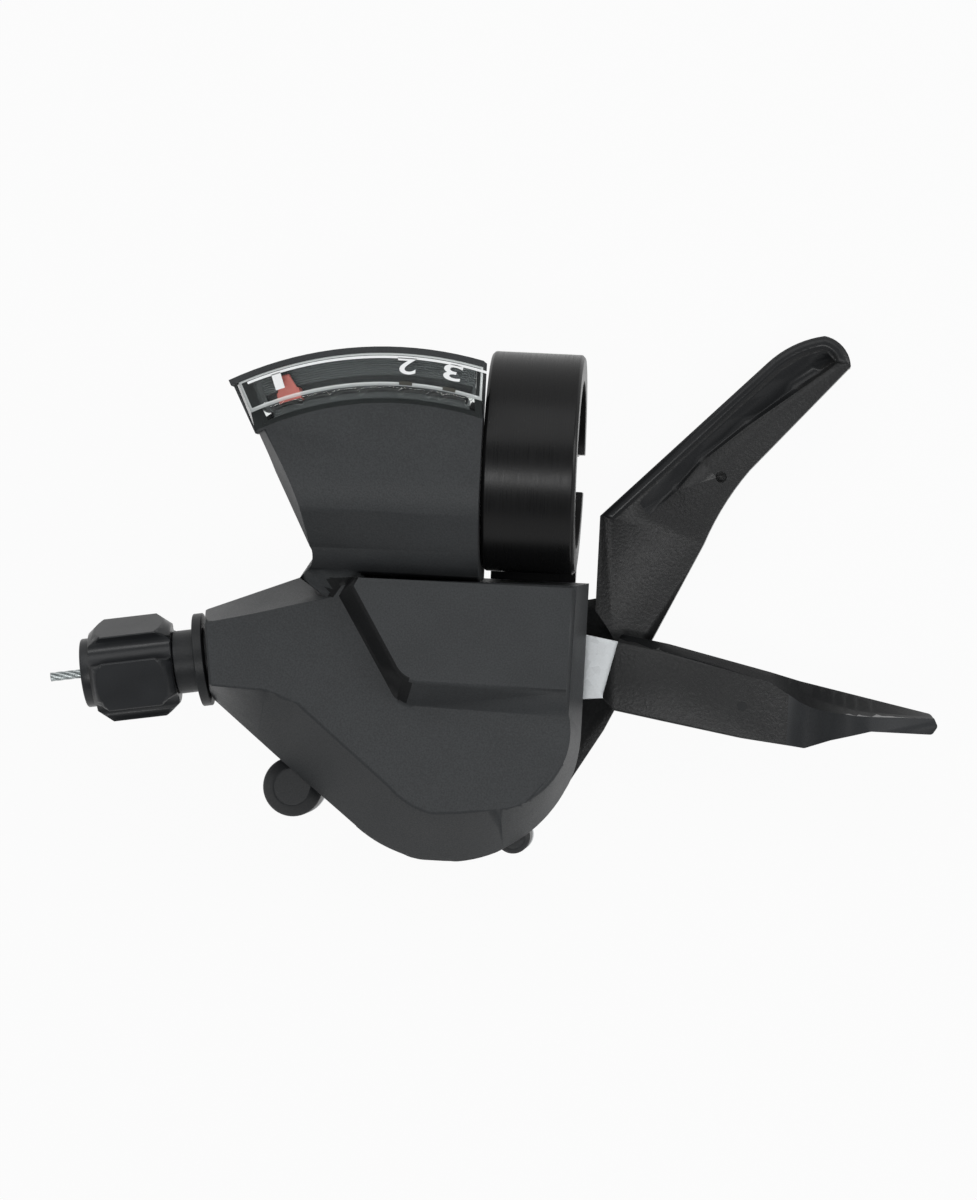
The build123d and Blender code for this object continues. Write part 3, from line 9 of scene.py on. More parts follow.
import bmesh
import bpy
from mathutils import Matrix, Vector
from mathutils.bvhtree import BVHTree

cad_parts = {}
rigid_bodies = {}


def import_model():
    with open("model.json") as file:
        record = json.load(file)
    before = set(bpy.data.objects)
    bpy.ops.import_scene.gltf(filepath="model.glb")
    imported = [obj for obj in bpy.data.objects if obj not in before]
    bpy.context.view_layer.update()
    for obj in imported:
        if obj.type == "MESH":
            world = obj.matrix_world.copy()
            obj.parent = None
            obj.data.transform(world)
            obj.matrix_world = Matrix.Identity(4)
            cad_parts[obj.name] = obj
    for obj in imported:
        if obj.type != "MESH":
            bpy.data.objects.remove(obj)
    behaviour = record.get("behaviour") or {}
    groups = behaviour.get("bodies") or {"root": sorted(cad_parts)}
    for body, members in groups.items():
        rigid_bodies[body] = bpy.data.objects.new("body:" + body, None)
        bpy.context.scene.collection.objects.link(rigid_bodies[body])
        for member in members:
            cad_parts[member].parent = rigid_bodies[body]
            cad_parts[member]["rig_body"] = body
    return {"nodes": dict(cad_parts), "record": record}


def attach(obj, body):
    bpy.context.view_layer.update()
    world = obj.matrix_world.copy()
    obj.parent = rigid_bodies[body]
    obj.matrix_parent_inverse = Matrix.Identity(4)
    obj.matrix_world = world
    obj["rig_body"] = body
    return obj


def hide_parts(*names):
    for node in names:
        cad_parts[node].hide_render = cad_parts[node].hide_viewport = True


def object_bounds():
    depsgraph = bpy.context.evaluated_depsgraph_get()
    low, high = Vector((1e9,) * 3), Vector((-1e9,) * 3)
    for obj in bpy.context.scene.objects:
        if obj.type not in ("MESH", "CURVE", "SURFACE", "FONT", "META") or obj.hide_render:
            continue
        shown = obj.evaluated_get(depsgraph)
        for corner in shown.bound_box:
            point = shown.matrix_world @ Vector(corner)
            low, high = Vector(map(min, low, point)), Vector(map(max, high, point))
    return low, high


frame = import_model()
CAD_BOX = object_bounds()
MM = 0.001
UP = Vector((0.0, 0.0, 1.0))
log = logging.getLogger("shifter")

Colour = tuple[float, float, float]
Place = tuple[float, float, float]
Pair = tuple[float, float]


class Slot(Enum):
    """Material slots of the record that the finishes belong to."""

    BAND = "black_band"
    BOLT = "black_bolt"
    ZINC = "zinc_steel"
    SPRING = "spring_steel"
    WIRE = "cable_wire"
    COVER = "cover_plastic"
    CASE = "case_plastic"
    LEVER = "lever_plastic"
    KNOB = "knob_plastic"
    ACETAL = "white_plastic"
    LENS = "clear_lens"
    DISPLAY = "display_dark"
    NEEDLE = "needle_red"


class Body(Enum):
    """Bodies of the mechanism that new pieces ride on."""

    CASE = "case"
    TRIGGER = "trigger"


class Expr:
    """A shader socket's value; arithmetic on it adds Math nodes."""

    def __init__(self, graph: "Graph", socket: bpy.types.NodeSocket | None) -> None:
        """Wraps one socket of a graph."""
        self.graph = graph
        self.socket = socket

    def _math(self, operation: str, first: "Expr | float", second: "Expr | float") -> "Expr":
        """Adds one Math node."""
        return self.graph.add("ShaderNodeMath", {"operation": operation}, {0: first, 1: second})

    def __add__(self, other: "Expr | float") -> "Expr":
        """Sum."""
        return self._math("ADD", self, other)

    def __radd__(self, other: float) -> "Expr":
        """Sum with a number first."""
        return self._math("ADD", other, self)

    def __sub__(self, other: "Expr | float") -> "Expr":
        """Difference."""
        return self._math("SUBTRACT", self, other)

    def __rsub__(self, other: float) -> "Expr":
        """Difference with a number first."""
        return self._math("SUBTRACT", other, self)

    def __mul__(self, other: "Expr | float") -> "Expr":
        """Product."""
        return self._math("MULTIPLY", self, other)

    def __rmul__(self, other: float) -> "Expr":
        """Product with a number first."""
        return self._math("MULTIPLY", other, self)

    def at_least(self, other: "Expr | float") -> "Expr":
        """The larger of the two."""
        return self._math("MAXIMUM", self, other)

    def output(self, name: str) -> "Expr":
        """Another output of the same node."""
        return Expr(self.graph, self.socket.node.outputs[name])


class Graph:
    """Node tree of one material or of the world."""

    def __init__(self, tree: bpy.types.NodeTree) -> None:
        """Takes an empty tree over.

        Args:
            tree: node tree whose nodes are replaced.
        """
        self.tree = tree
        self.tree.nodes.clear()

    def add(
        self, kind: str, settings: dict | None = None, sockets: dict | None = None, output: int = 0,
    ) -> Expr:
        """Adds a node, sets it up, then fills its sockets.

        Args:
            kind: node type.
            settings: attributes of the node, with stops for a ramp's (position, colour) pairs.
            sockets: values or expressions by socket name or number.
            output: number of the output that is returned.

        Returns:
            The chosen output, or an empty expression for a node without outputs.
        """
        node = self.tree.nodes.new(kind)
        for key, value in (settings or {}).items():
            if key == "stops":
                for element, (position, colour) in zip(node.color_ramp.elements, value):
                    element.position = position
                    element.color = (*colour, 1.0)
            else:
                setattr(node, key, value)
        for key, value in (sockets or {}).items():
            if isinstance(value, Expr):
                self.tree.links.new(value.socket, node.inputs[key])
            else:
                node.inputs[key].default_value = value
        return Expr(self, node.outputs[output] if node.outputs else None)

    def place(self) -> Expr:
        """Object coordinates, in metres."""
        return self.add("ShaderNodeTexCoord").output("Object")

    def noise(self, vector: Expr, size: float, detail: float = 2.0, roughness: float = 0.5) -> Expr:
        """Noise whose features have a size in metres."""
        sockets = {"Vector": vector, "Scale": 1.0 / size, "Detail": detail, "Roughness": roughness}
        return self.add("ShaderNodeTexNoise", {}, sockets)

    def stretched(self, vector: Expr, scale: Place, offset: Place = (0.0, 0.0, 0.0)) -> Expr:
        """Coordinates moved and scaled along each axis."""
        return self.add("ShaderNodeMapping", {}, {"Vector": vector, "Location": offset, "Scale": scale})

    def blend(self, factor: Expr, low: Colour, high: Colour) -> Expr:
        """A colour between two."""
        sockets = {0: factor, 6: (*low, 1.0), 7: (*high, 1.0)}
        return self.add("ShaderNodeMix", {"data_type": "RGBA"}, sockets, output=2)

    def ramp(self, factor: Expr, low: float, high: float) -> Expr:
        """Zero below the first limit and one above the second, smooth between them."""
        sockets = {"Value": factor, "From Min": low, "From Max": high}
        return self.add("ShaderNodeMapRange", {"interpolation_type": "SMOOTHSTEP"}, sockets)

    def bump(self, height: Expr, depth: float) -> Expr:
        """Normal of a surface with a relief of a depth in metres."""
        return self.add("ShaderNodeBump", {}, {"Height": height, "Distance": depth})

    def surface(self, **sockets: object) -> None:
        """Ends the tree in a Principled shader."""
        named = {key.replace("_", " "): value for key, value in sockets.items()}
        self.end(self.add("ShaderNodeBsdfPrincipled", {}, named))

    def end(self, shader: Expr, kind: str = "ShaderNodeOutputMaterial") -> None:
        """Links a shader to the output node."""
        self.add(kind, {}, {"Surface": shader})


def shades(colour: Colour, spread: float) -> tuple[Colour, Colour]:
    """A darker and a lighter tone of a colour.

    Args:
        colour: middle tone.
        spread: share by which the tones differ from it.

    Returns:
        The two tones.
    """
    return tuple(v * (1 - spread) for v in colour), tuple(min(1.0, v * (1 + spread)) for v in colour)


@dataclass(frozen=True)
class Finish:
    """A surface that pieces are made in."""

    name: str
    slot: Slot
    colour: Colour

    def dress(self, graph: Graph) -> None:
        """Fills a material's tree."""
        raise NotImplementedError

    def material(self) -> bpy.types.Material:
        """The Blender material, made once."""
        found = bpy.data.materials.get(self.name)
        if found is None:
            found = bpy.data.materials.new(self.name)
            found.use_nodes = True
            found.diffuse_color = (*self.colour, 1.0)
            self.dress(Graph(found.node_tree))
        return found


@dataclass(frozen=True)
class Moulded(Finish):
    """Moulded plastic with an eroded grain."""

    grain: float = 0.22 * MM
    depth: float = 0.02 * MM
    roughness: float = 0.5
    mottle: float = 0.18
    gloss: float = 0.4
    cloud_grains: float = 30.0
    tone_shares: Pair = (0.7, 0.3)
    tone_limits: Pair = (0.3, 0.7)
    roughness_shares: Pair = (0.2, 0.16)

    def dress(self, graph: Graph) -> None:
        """Grain as bump, with the peaks a little lighter and smoother than the hollows."""
        place = graph.place()
        fine = graph.noise(place, self.grain, detail=3.0, roughness=0.6)
        cloud = graph.noise(place, self.cloud_grains * self.grain, detail=2.0)
        dark, light = shades(self.colour, self.mottle)
        of_fine, of_cloud = self.tone_shares
        tone = graph.ramp(fine * of_fine + cloud * of_cloud, *self.tone_limits)
        of_fine, of_cloud = self.roughness_shares
        graph.surface(
            Base_Color=graph.blend(tone, dark, light),
            Roughness=self.roughness + (cloud - 0.5) * of_cloud + (0.5 - fine) * of_fine,
            Specular_IOR_Level=self.gloss,
            Normal=graph.bump(fine, self.depth),
        )


@dataclass(frozen=True)
class TurnedBand(Finish):
    """Black anodised aluminium with turning lines round the bar."""

    roughness: float = 0.3
    gloss: float = 0.18
    line_width: float = 0.16 * MM
    line_stretch: Place = (1.0, 0.03, 0.03)
    cloud_size: float = 6 * MM
    roughness_shares: Pair = (0.25, 0.1)
    spread: float = 0.4
    depth: float = 0.01 * MM

    def dress(self, graph: Graph) -> None:
        """Lines that run round the ring, each a little different in gloss."""
        place = graph.place()
        drawn = graph.stretched(place, self.line_stretch)
        lines = graph.noise(drawn, self.line_width, detail=4.0, roughness=0.7)
        cloud = graph.noise(place, self.cloud_size, detail=3.0)
        dark, light = shades(self.colour, self.spread)
        of_lines, of_cloud = self.roughness_shares
        graph.surface(
            Base_Color=graph.blend(lines, dark, light),
            Roughness=self.roughness + (lines - 0.5) * of_lines + (cloud - 0.5) * of_cloud,
            Specular_IOR_Level=self.gloss,
            Normal=graph.bump(lines, self.depth),
        )


@dataclass(frozen=True)
class BareMetal(Finish):
    """Machined or drawn bare metal."""

    roughness: float = 0.3
    grain: float = 0.3 * MM
    stretch: Place = (1.0, 0.15, 1.0)
    roughness_share: float = 0.2
    spread: float = 0.12
    depth: float = 0.004 * MM

    def dress(self, graph: Graph) -> None:
        """Faint scratches and clouding."""
        place = graph.place()
        fine = graph.noise(graph.stretched(place, self.stretch), self.grain, detail=4.0, roughness=0.6)
        dark, light = shades(self.colour, self.spread)
        graph.surface(
            Base_Color=graph.blend(fine, dark, light),
            Metallic=1.0,
            Roughness=self.roughness + (fine - 0.5) * self.roughness_share,
            Normal=graph.bump(fine, self.depth),
        )


@dataclass(frozen=True)
class ZincPlate(Finish):
    """Zinc-plated sheet steel with a spangled, slightly pitted skin."""

    spangle: float = 0.9 * MM
    pit_size: float = 0.25 * MM
    spread: float = 0.25
    metallic: float = 0.9
    roughness: float = 0.32
    roughness_share: float = 0.25
    depth: float = 0.012 * MM

    def dress(self, graph: Graph) -> None:
        """Cells of different grey with fine pits."""
        place = graph.place()
        sockets = {"Vector": place, "Scale": 1.0 / self.spangle}
        cells = graph.add("ShaderNodeTexVoronoi", {}, sockets, output=1)
        grey = graph.add("ShaderNodeRGBToBW", {}, {"Color": cells})
        pits = graph.noise(place, self.pit_size, detail=4.0, roughness=0.7)
        tone = grey * 0.5 + pits * 0.5
        dark, light = shades(self.colour, self.spread)
        graph.surface(
            Base_Color=graph.blend(tone, dark, light),
            Metallic=self.metallic,
            Roughness=self.roughness + tone * self.roughness_share,
            Normal=graph.bump(pits, self.depth),
        )


@dataclass(frozen=True)
class ClearPlastic(Finish):
    """Clear moulded window."""

    clear: float = 1.0
    roughness: float = 0.03
    haze_size: float = 2.5 * MM
    haze_share: float = 0.04
    refraction: float = 1.49
    shadow_tint: Colour = (0.9, 0.92, 0.91)

    def dress(self, graph: Graph) -> None:
        """Glass-like, with a faint moulding haze, and no shadow on what lies under it."""
        haze = graph.noise(graph.place(), self.haze_size, detail=2.0)
        body = graph.add("ShaderNodeBsdfPrincipled", {}, {
            "Base Color": (*self.colour, 1.0),
            "Roughness": self.roughness + haze * self.haze_share,
            "IOR": self.refraction,
            "Transmission Weight": self.clear,
        })
        shadow = graph.add("ShaderNodeLightPath").output("Is Shadow Ray")
        through = graph.add("ShaderNodeBsdfTransparent", {}, {"Color": (*self.shadow_tint, 1.0)})
        graph.end(graph.add("ShaderNodeMixShader", {}, {0: shadow, 1: body, 2: through}))


@dataclass(frozen=True)
class RidgedGround(Finish):
    """Dark display ground with fine ridges round the needle's pivot."""

    pivot: Place = (0.0, 0.0, 0.0)
    pitch: float = 0.3 * MM
    fleck_size: float = 0.2 * MM
    tone_shares: Pair = (0.25, 0.5)
    spread: float = 0.3
    roughness: float = 0.45
    roughness_share: float = 0.2
    depth: float = 0.02 * MM

    def dress(self, graph: Graph) -> None:
        """Concentric ridges as bump and tone."""
        place = graph.stretched(graph.place(), (1.0, 1.0, 0.0), tuple(-v for v in self.pivot))
        radius = graph.add("ShaderNodeVectorMath", {"operation": "LENGTH"}, {0: place}, output=1)
        wave = graph.add("ShaderNodeMath", {"operation": "SINE"}, {0: radius * (2 * pi / self.pitch)})
        fleck = graph.noise(graph.place(), self.fleck_size, detail=2.0)
        dark, light = shades(self.colour, self.spread)
        of_wave, of_fleck = self.tone_shares
        graph.surface(
            Base_Color=graph.blend(wave * of_wave + fleck * of_fleck + of_wave, dark, light),
            Roughness=self.roughness + fleck * self.roughness_share,
            Normal=graph.bump(wave, self.depth),
        )


@dataclass(frozen=True)
class Paint(Finish):
    """Printed ink or paint with a faint unevenness."""

    roughness: float = 0.4
    film_size: float = 0.3 * MM
    roughness_share: float = 0.1
    spread: float = 0.06
    depth: float = 0.004 * MM

    def dress(self, graph: Graph) -> None:
        """Slightly uneven film."""
        film = graph.noise(graph.place(), self.film_size, detail=3.0)
        dark, light = shades(self.colour, self.spread)
        graph.surface(
            Base_Color=graph.blend(film, dark, light),
            Roughness=self.roughness + (film - 0.5) * self.roughness_share,
            Normal=graph.bump(film, self.depth),
        )


PIVOT = Vector((-17.1, -33.7, 0.0)) * MM

COVER = Moulded("cover_sand", Slot.COVER, (0.036, 0.0382, 0.040), roughness=0.48, gloss=0.2)
WALL = Moulded(
    "cover_wall", Slot.COVER, (0.024, 0.026, 0.028), depth=0.004 * MM, roughness=0.4, gloss=0.2,
)
# Near-black finish for the panel's left step wall: painted shade.
PAINTED_STEP_SHADE = Moulded(
    "cover_step_painted_shade", Slot.COVER, (0.013, 0.0135, 0.014), depth=0.004 * MM, roughness=0.45, gloss=0.1,
)
CASE = Moulded("case_sand", Slot.CASE, (0.016, 0.0172, 0.0184), roughness=0.42, gloss=0.25)
LEVER = Moulded(
    "lever_grain", Slot.LEVER, (0.018, 0.0183, 0.0186), grain=0.4 * MM, depth=0.06 * MM, roughness=0.38,
    gloss=0.25,
)
ROLLED = Moulded(
    "lever_gloss", Slot.LEVER, (0.016, 0.0167, 0.0177), depth=0.003 * MM, roughness=0.28, gloss=0.2,
)
# Lighter, smoother finish for the finger paddle: its lighter colour is a painted sheen.
PAINTED_PADDLE_SHEEN = Moulded(
    "lever_painted_sheen", Slot.LEVER, (0.032, 0.0335, 0.0355), depth=0.003 * MM, roughness=0.3, gloss=0.25,
)
# Near-black, dull finish for the paddle's back slope and the sleeve's back edge: painted shade.
PAINTED_LEVER_SHADE = Moulded(
    "lever_painted_shade", Slot.LEVER, (0.009, 0.0095, 0.010), depth=0.003 * MM, roughness=0.55, gloss=0.04,
)
KNOB = Moulded(
    "knob_satin", Slot.KNOB, (0.019, 0.0202, 0.022), grain=0.15 * MM, depth=0.006 * MM, roughness=0.34,
    gloss=0.3,
)
ACETAL = Moulded("acetal", Slot.ACETAL, (0.70, 0.69, 0.65), depth=0.004 * MM, roughness=0.35, mottle=0.05)
BAND = TurnedBand("band_black", Slot.BAND, (0.006, 0.006, 0.0062), roughness=0.3)
OXIDE = BareMetal("bolt_oxide", Slot.BOLT, (0.05, 0.05, 0.052), roughness=0.35)
SPRING = BareMetal("spring_wire", Slot.SPRING, (0.45, 0.45, 0.46))
WIRE = BareMetal("strand_wire", Slot.WIRE, (0.38, 0.41, 0.41), roughness=0.28)
ZINC = ZincPlate("zinc_plate", Slot.ZINC, (0.56, 0.58, 0.59))
LENS = ClearPlastic("lens_clear", Slot.LENS, (0.95, 0.98, 0.965))
# Whitish, half-clear finish for the rounded brow of the window: a painted highlight.
PAINTED_BROW_HIGHLIGHT = ClearPlastic("lens_edge", Slot.LENS, (0.80, 0.84, 0.83), clear=0.4, roughness=0.2)
GROUND = RidgedGround("display_ground", Slot.DISPLAY, (0.032, 0.0355, 0.038), pivot=tuple(PIVOT))
RED = Paint("needle_paint", Slot.NEEDLE, (0.36, 0.075, 0.06))
STRIP = Paint("needle_strip", Slot.NEEDLE, (0.016, 0.016, 0.017))
WHITE = Paint("print_white", Slot.LENS, (0.86, 0.87, 0.87), roughness=0.5)
# Dark olive film for the two marks on the window's brow: painted shadows of the digits.
DIGIT_SHADOW = Paint("painted_shadow_olive", Slot.LENS, (0.028, 0.027, 0.018), roughness=0.5)

BASIC = (COVER, CASE, LEVER, KNOB, ACETAL, BAND, OXIDE, SPRING, WIRE, ZINC, LENS, GROUND, RED)
FINISHES = {finish.slot: finish for finish in BASIC}


def slot_of(node: str) -> Slot:
    """The record's material slot of a CAD node."""
    found = next(s for s in frame["record"]["subparts"] if s["node"] == node)
    return Slot(found["material_slot"])


def as_piece(shape: bmesh.types.BMesh, name: str, finishes: list[Finish], body: str) -> bpy.types.Object:
    """Makes an object of a bmesh that rides on a body.

    Args:
        shape: finished shape, which is freed.
        name: name of the piece.
        finishes: finishes in the order of the faces' material numbers.
        body: body that the piece moves with.

    Returns:
        The new object.
    """
    mesh = bpy.data.meshes.new(name)
    shape.to_mesh(mesh)
    shape.free()
    for finish in finishes:
        mesh.materials.append(finish.material())
    log.info("piece %s: %d faces, on %s", name, len(mesh.polygons), body)
    piece = bpy.data.objects.new(name, mesh)
    bpy.context.scene.collection.objects.link(piece)
    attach(piece, body)
    return piece


def edges_of(verts: list[bmesh.types.BMVert]) -> list[bmesh.types.BMEdge]:
    """The edges that vertices belong to, each once and in a fixed order."""
    return list(dict.fromkeys(edge for vert in verts for edge in vert.link_edges))


def smooth(piece: bpy.types.Object, limit: float) -> None:
    """Shades a piece smooth, with edges above a limit in degrees kept sharp."""
    piece.data.shade_smooth()
    piece.data.set_sharp_from_angle(angle=radians(limit))


@dataclass(frozen=True)
class Zone:
    """Part of space, in millimetres: a box, cut by a plane through a point."""

    low: Place = (-200.0, -200.0, -200.0)
    high: Place = (200.0, 200.0, 200.0)
    point: Place = (0.0, 0.0, -200.0)
    along: Place = (0.0, 0.0, 1.0)

    def holds(self, place: Vector) -> bool:
        """Tells whether a place lies in the box and past the plane.

        Args:
            place: place in metres.

        Returns:
            True for a place in the zone.
        """
        spot = place / MM
        inside = all(low <= c <= high for low, c, high in zip(self.low, spot, self.high))
        return inside and (spot - Vector(self.point)).dot(Vector(self.along)) >= 0.0


@dataclass
class Skin:
    """A merged copy of a CAD node with rounded edges, which stands for the node.

    Angles are in degrees. The room an edge needs and the height a rounding may stand away are shares of
    the rounding. Fold and small are areas in square metres, and speck is twice one.
    """

    node: str
    finish: Finish
    rounding: float = 0.2 * MM
    segments: int = 3
    crease: float = 28.0
    merge: float = 0.03 * MM
    rounded: Zone = Zone()
    patches: tuple[tuple[Zone, Finish], ...] = ()
    edge_finish: Finish | None = None
    even: bool = True
    flat: float = 0.4
    sharp_shading: float = 42.0
    room: float = 2.2
    least_slant: float = 0.3
    stand_off: float = 0.6
    speck: float = 1e-10
    fold: float = 1e-7
    small: float = 2e-6
    tries: int = 8

    def merged(self) -> bmesh.types.BMesh:
        """Copies the node, closes its seams and joins its flat faces.

        Returns:
            The copy.
        """
        shape = bmesh.new()
        shape.from_mesh(frame["nodes"][self.node].data)
        for face in shape.faces:
            face.material_index = 0
        bmesh.ops.remove_doubles(shape, verts=shape.verts, dist=self.merge)
        bmesh.ops.dissolve_degenerate(shape, dist=self.merge, edges=shape.edges)
        bmesh.ops.dissolve_limit(
            shape, angle_limit=radians(self.flat), verts=shape.verts, edges=shape.edges,
        )
        return shape

    def has_room(self, edge: bmesh.types.BMEdge) -> bool:
        """Tells whether the edges that meet an edge leave room for its rounding.

        Args:
            edge: sharp edge.

        Returns:
            True where each of them runs far enough away from it.
        """
        along = (edge.verts[1].co - edge.verts[0].co).normalized()
        for vert in edge.verts:
            for other in vert.link_edges:
                run = other.other_vert(vert).co - vert.co
                across = (run - along * run.dot(along)).length
                slanted = across > self.least_slant * run.length
                if other is not edge and slanted and across < self.room * self.rounding:
                    return False
        return True

    def faults(self, shape: bmesh.types.BMesh, surface: BVHTree) -> list[Vector]:
        """Finds where a rounding stands away from the CAD surface or folds over.

        Args:
            shape: rounded copy.
            surface: the CAD surface.

        Returns:
            Places of the faults.
        """
        limit = self.stand_off * self.rounding
        places = [v.co.copy() for v in shape.verts if surface.find_nearest(v.co)[3] > limit]
        areas: dict[bmesh.types.BMFace, float] = {}
        for loops in shape.calc_loop_triangles():
            a, b, c = (loop.vert.co for loop in loops)
            normal = (b - a).cross(c - a)
            face = loops[0].face
            areas[face] = areas.get(face, 0.0) + normal.length / 2
            if normal.length > self.speck and normal.dot(face.normal) < 0.0:
                places += [a.copy(), b.copy(), c.copy()]
        for face, area in areas.items():
            if face.calc_area() + self.fold < area < self.small:
                places += [v.co.copy() for v in face.verts]
        return places

    def sharp_edges(self, shape: bmesh.types.BMesh) -> list[bmesh.types.BMEdge]:
        """Lists the sharp edges of the rounded zone that have room.

        Args:
            shape: merged copy.

        Returns:
            The edges.
        """
        limit = radians(self.crease)
        sharp = [e for e in shape.edges if e.is_manifold and e.calc_face_angle(0.0) > limit]
        return [e for e in sharp if self.has_room(e) and all(self.rounded.holds(v.co) for v in e.verts)]

    def round_edges(self) -> tuple[bmesh.types.BMesh, list[bmesh.types.BMFace]]:
        """Rounds sharp edges, with a wider berth round the faults on each try.

        Returns:
            The rounded copy and its new faces.
        """
        surface = BVHTree.FromObject(frame["nodes"][self.node], bpy.context.evaluated_depsgraph_get())
        left_out: list[Vector] = []
        plain = self.merged()
        own = len(self.faults(plain, surface))
        for attempt in range(1, self.tries + 1):
            shape = plain.copy()
            sharp = self.sharp_edges(shape)
            reach = attempt * self.rounding
            kept = [e for e in sharp if all((v.co - p).length > reach for v in e.verts for p in left_out)]
            faces = bmesh.ops.bevel(
                shape, geom=kept, offset=self.rounding, offset_type="OFFSET", segments=self.segments,
                profile=0.5, affect="EDGES", clamp_overlap=False, material=-1,
            )["faces"]
            shape.normal_update()
            found = self.faults(shape, surface)
            log.info("skin %s: %d of %d edges, %d faults", self.node, len(kept), len(sharp), len(found))
            if len(found) <= own:
                plain.free()
                return shape, faces
            left_out += found
            shape.free()
        return plain, []

    def build(self) -> bpy.types.Object:
        """Merges, rounds and shades the copy.

        Returns:
            The new piece.
        """
        shape, edges = self.round_edges() if self.rounding else (self.merged(), [])
        finishes = [self.finish, *(finish for _, finish in self.patches)]
        for number, (zone, _) in enumerate(self.patches, start=1):
            for face in shape.faces:
                if zone.holds(face.calc_center_median()):
                    face.material_index = number
        if self.edge_finish:
            for face in edges:
                face.material_index = len(finishes)
            finishes.append(self.edge_finish)
        piece = as_piece(shape, f"{self.node}_skin", finishes, frame["nodes"][self.node]["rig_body"])
        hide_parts(self.node)
        smooth(piece, self.sharp_shading)
        if self.even:
            modifier = piece.modifiers.new("even_normals", "WEIGHTED_NORMAL")
            modifier.keep_sharp = True
        return piece


@dataclass
class Shell:
    """Moulded covers, clamp and the fasteners that show."""

    cover_edge: float = 0.35 * MM
    case_edge: float = 0.2 * MM
    band_edge: float = 0.12 * MM
    plate_edge: float = 0.1 * MM
    bolt_edge: float = 0.15 * MM
    screw_edge: float = 0.08 * MM
    axle_edge: float = 0.2 * MM
    body: Zone = Zone(high=(200.0, -15.6, 200.0))
    fan_side: Zone = Zone(
        (-60.0, -15.5, 0.0), (0.0, 20.0, 15.6), (-15.77, -33.01, 0.0), (-0.887, -0.4617, 0.0),
    )
    shaded_panel_side: Zone = Zone((-26.0, -32.0, 2.0), (-14.5, -16.5, 30.0))

    def build(self) -> None:
        """Skins what shows of the case and its clamp."""
        # The panel's left step wall gets the near-black finish, which is painted shade.
        patches = ((self.fan_side, WALL), (self.shaded_panel_side, PAINTED_STEP_SHADE))
        Skin("upper_cover", COVER, self.cover_edge, rounded=self.body, patches=patches).build()
        Skin("lower_cover", CASE, self.case_edge).build()
        Skin("base_plate", ZINC, self.plate_edge).build()
        Skin("clamp_band", BAND, self.band_edge).build()
        Skin("clamp_bolt", OXIDE, self.bolt_edge).build()
        Skin("clamp_screws", ZINC, self.screw_edge).build()
        Skin("cover_screws", ZINC, self.screw_edge).build()
        Skin("main_axle", ZINC, self.axle_edge).build()


@dataclass
class Levers:
    """Thumb lever and release trigger."""

    cap_edge: float = 0.3 * MM
    arm_edge: float = 0.1 * MM
    mark: Vector = Vector((28.88, -30.74, -6.6)) * MM
    mark_r: float = 0.6 * MM
    mark_inset: Pair = (0.15 * MM, 0.06 * MM)
    mark_segments: int = 24
    mark_shading: float = 60.0
    rolled_edge: Zone = Zone(point=(12.27, -10.03, 0.0), along=(-0.7104, 0.7038, 0.0))
    sleeve: Zone = Zone(high=(31.0, 200.0, 200.0))
    paddle: Zone = Zone((35.5, -60.0, -30.0), (200.0, -31.0, 200.0))
    paddle_back: Zone = Zone(low=(31.0, -31.0, -30.0))
    sleeve_back: Zone = Zone(point=(12.87, -22.85, 0.0), along=(0.2236, 0.9747, 0.0))

    def pin_mark(self) -> None:
        """The round mark that a mould pin leaves on the finger piece."""
        shape = bmesh.new()
        bmesh.ops.create_circle(
            shape, segments=self.mark_segments, radius=self.mark_r, cap_ends=True,
            matrix=Matrix.Translation(self.mark),
        )
        thickness, depth = self.mark_inset
        bmesh.ops.inset_region(shape, faces=shape.faces[:], thickness=thickness, depth=depth)
        bmesh.ops.recalc_face_normals(shape, faces=shape.faces)
        mark = as_piece(shape, "trigger_pin_mark", [ROLLED], Body.TRIGGER.value)
        smooth(mark, self.mark_shading)

    def build(self) -> None:
        """Skins the levers."""
        Skin("thumb_lever", LEVER, 0.0, patches=((self.rolled_edge, ROLLED),), even=False).build()
        # The near-black finish of the paddle's back slope and the sleeve's back edge is painted shade.
        # The paddle's lighter finish is a painted sheen.
        patches = ((self.paddle, PAINTED_PADDLE_SHEEN), (self.paddle_back, PAINTED_LEVER_SHADE), (self.sleeve_back, PAINTED_LEVER_SHADE))
        Skin(
            "trigger_cap", LEVER, self.cap_edge, rounded=self.sleeve, patches=patches, even=False,
        ).build()
        Skin("trigger_arm", ZINC, self.arm_edge).build()
        self.pin_mark()


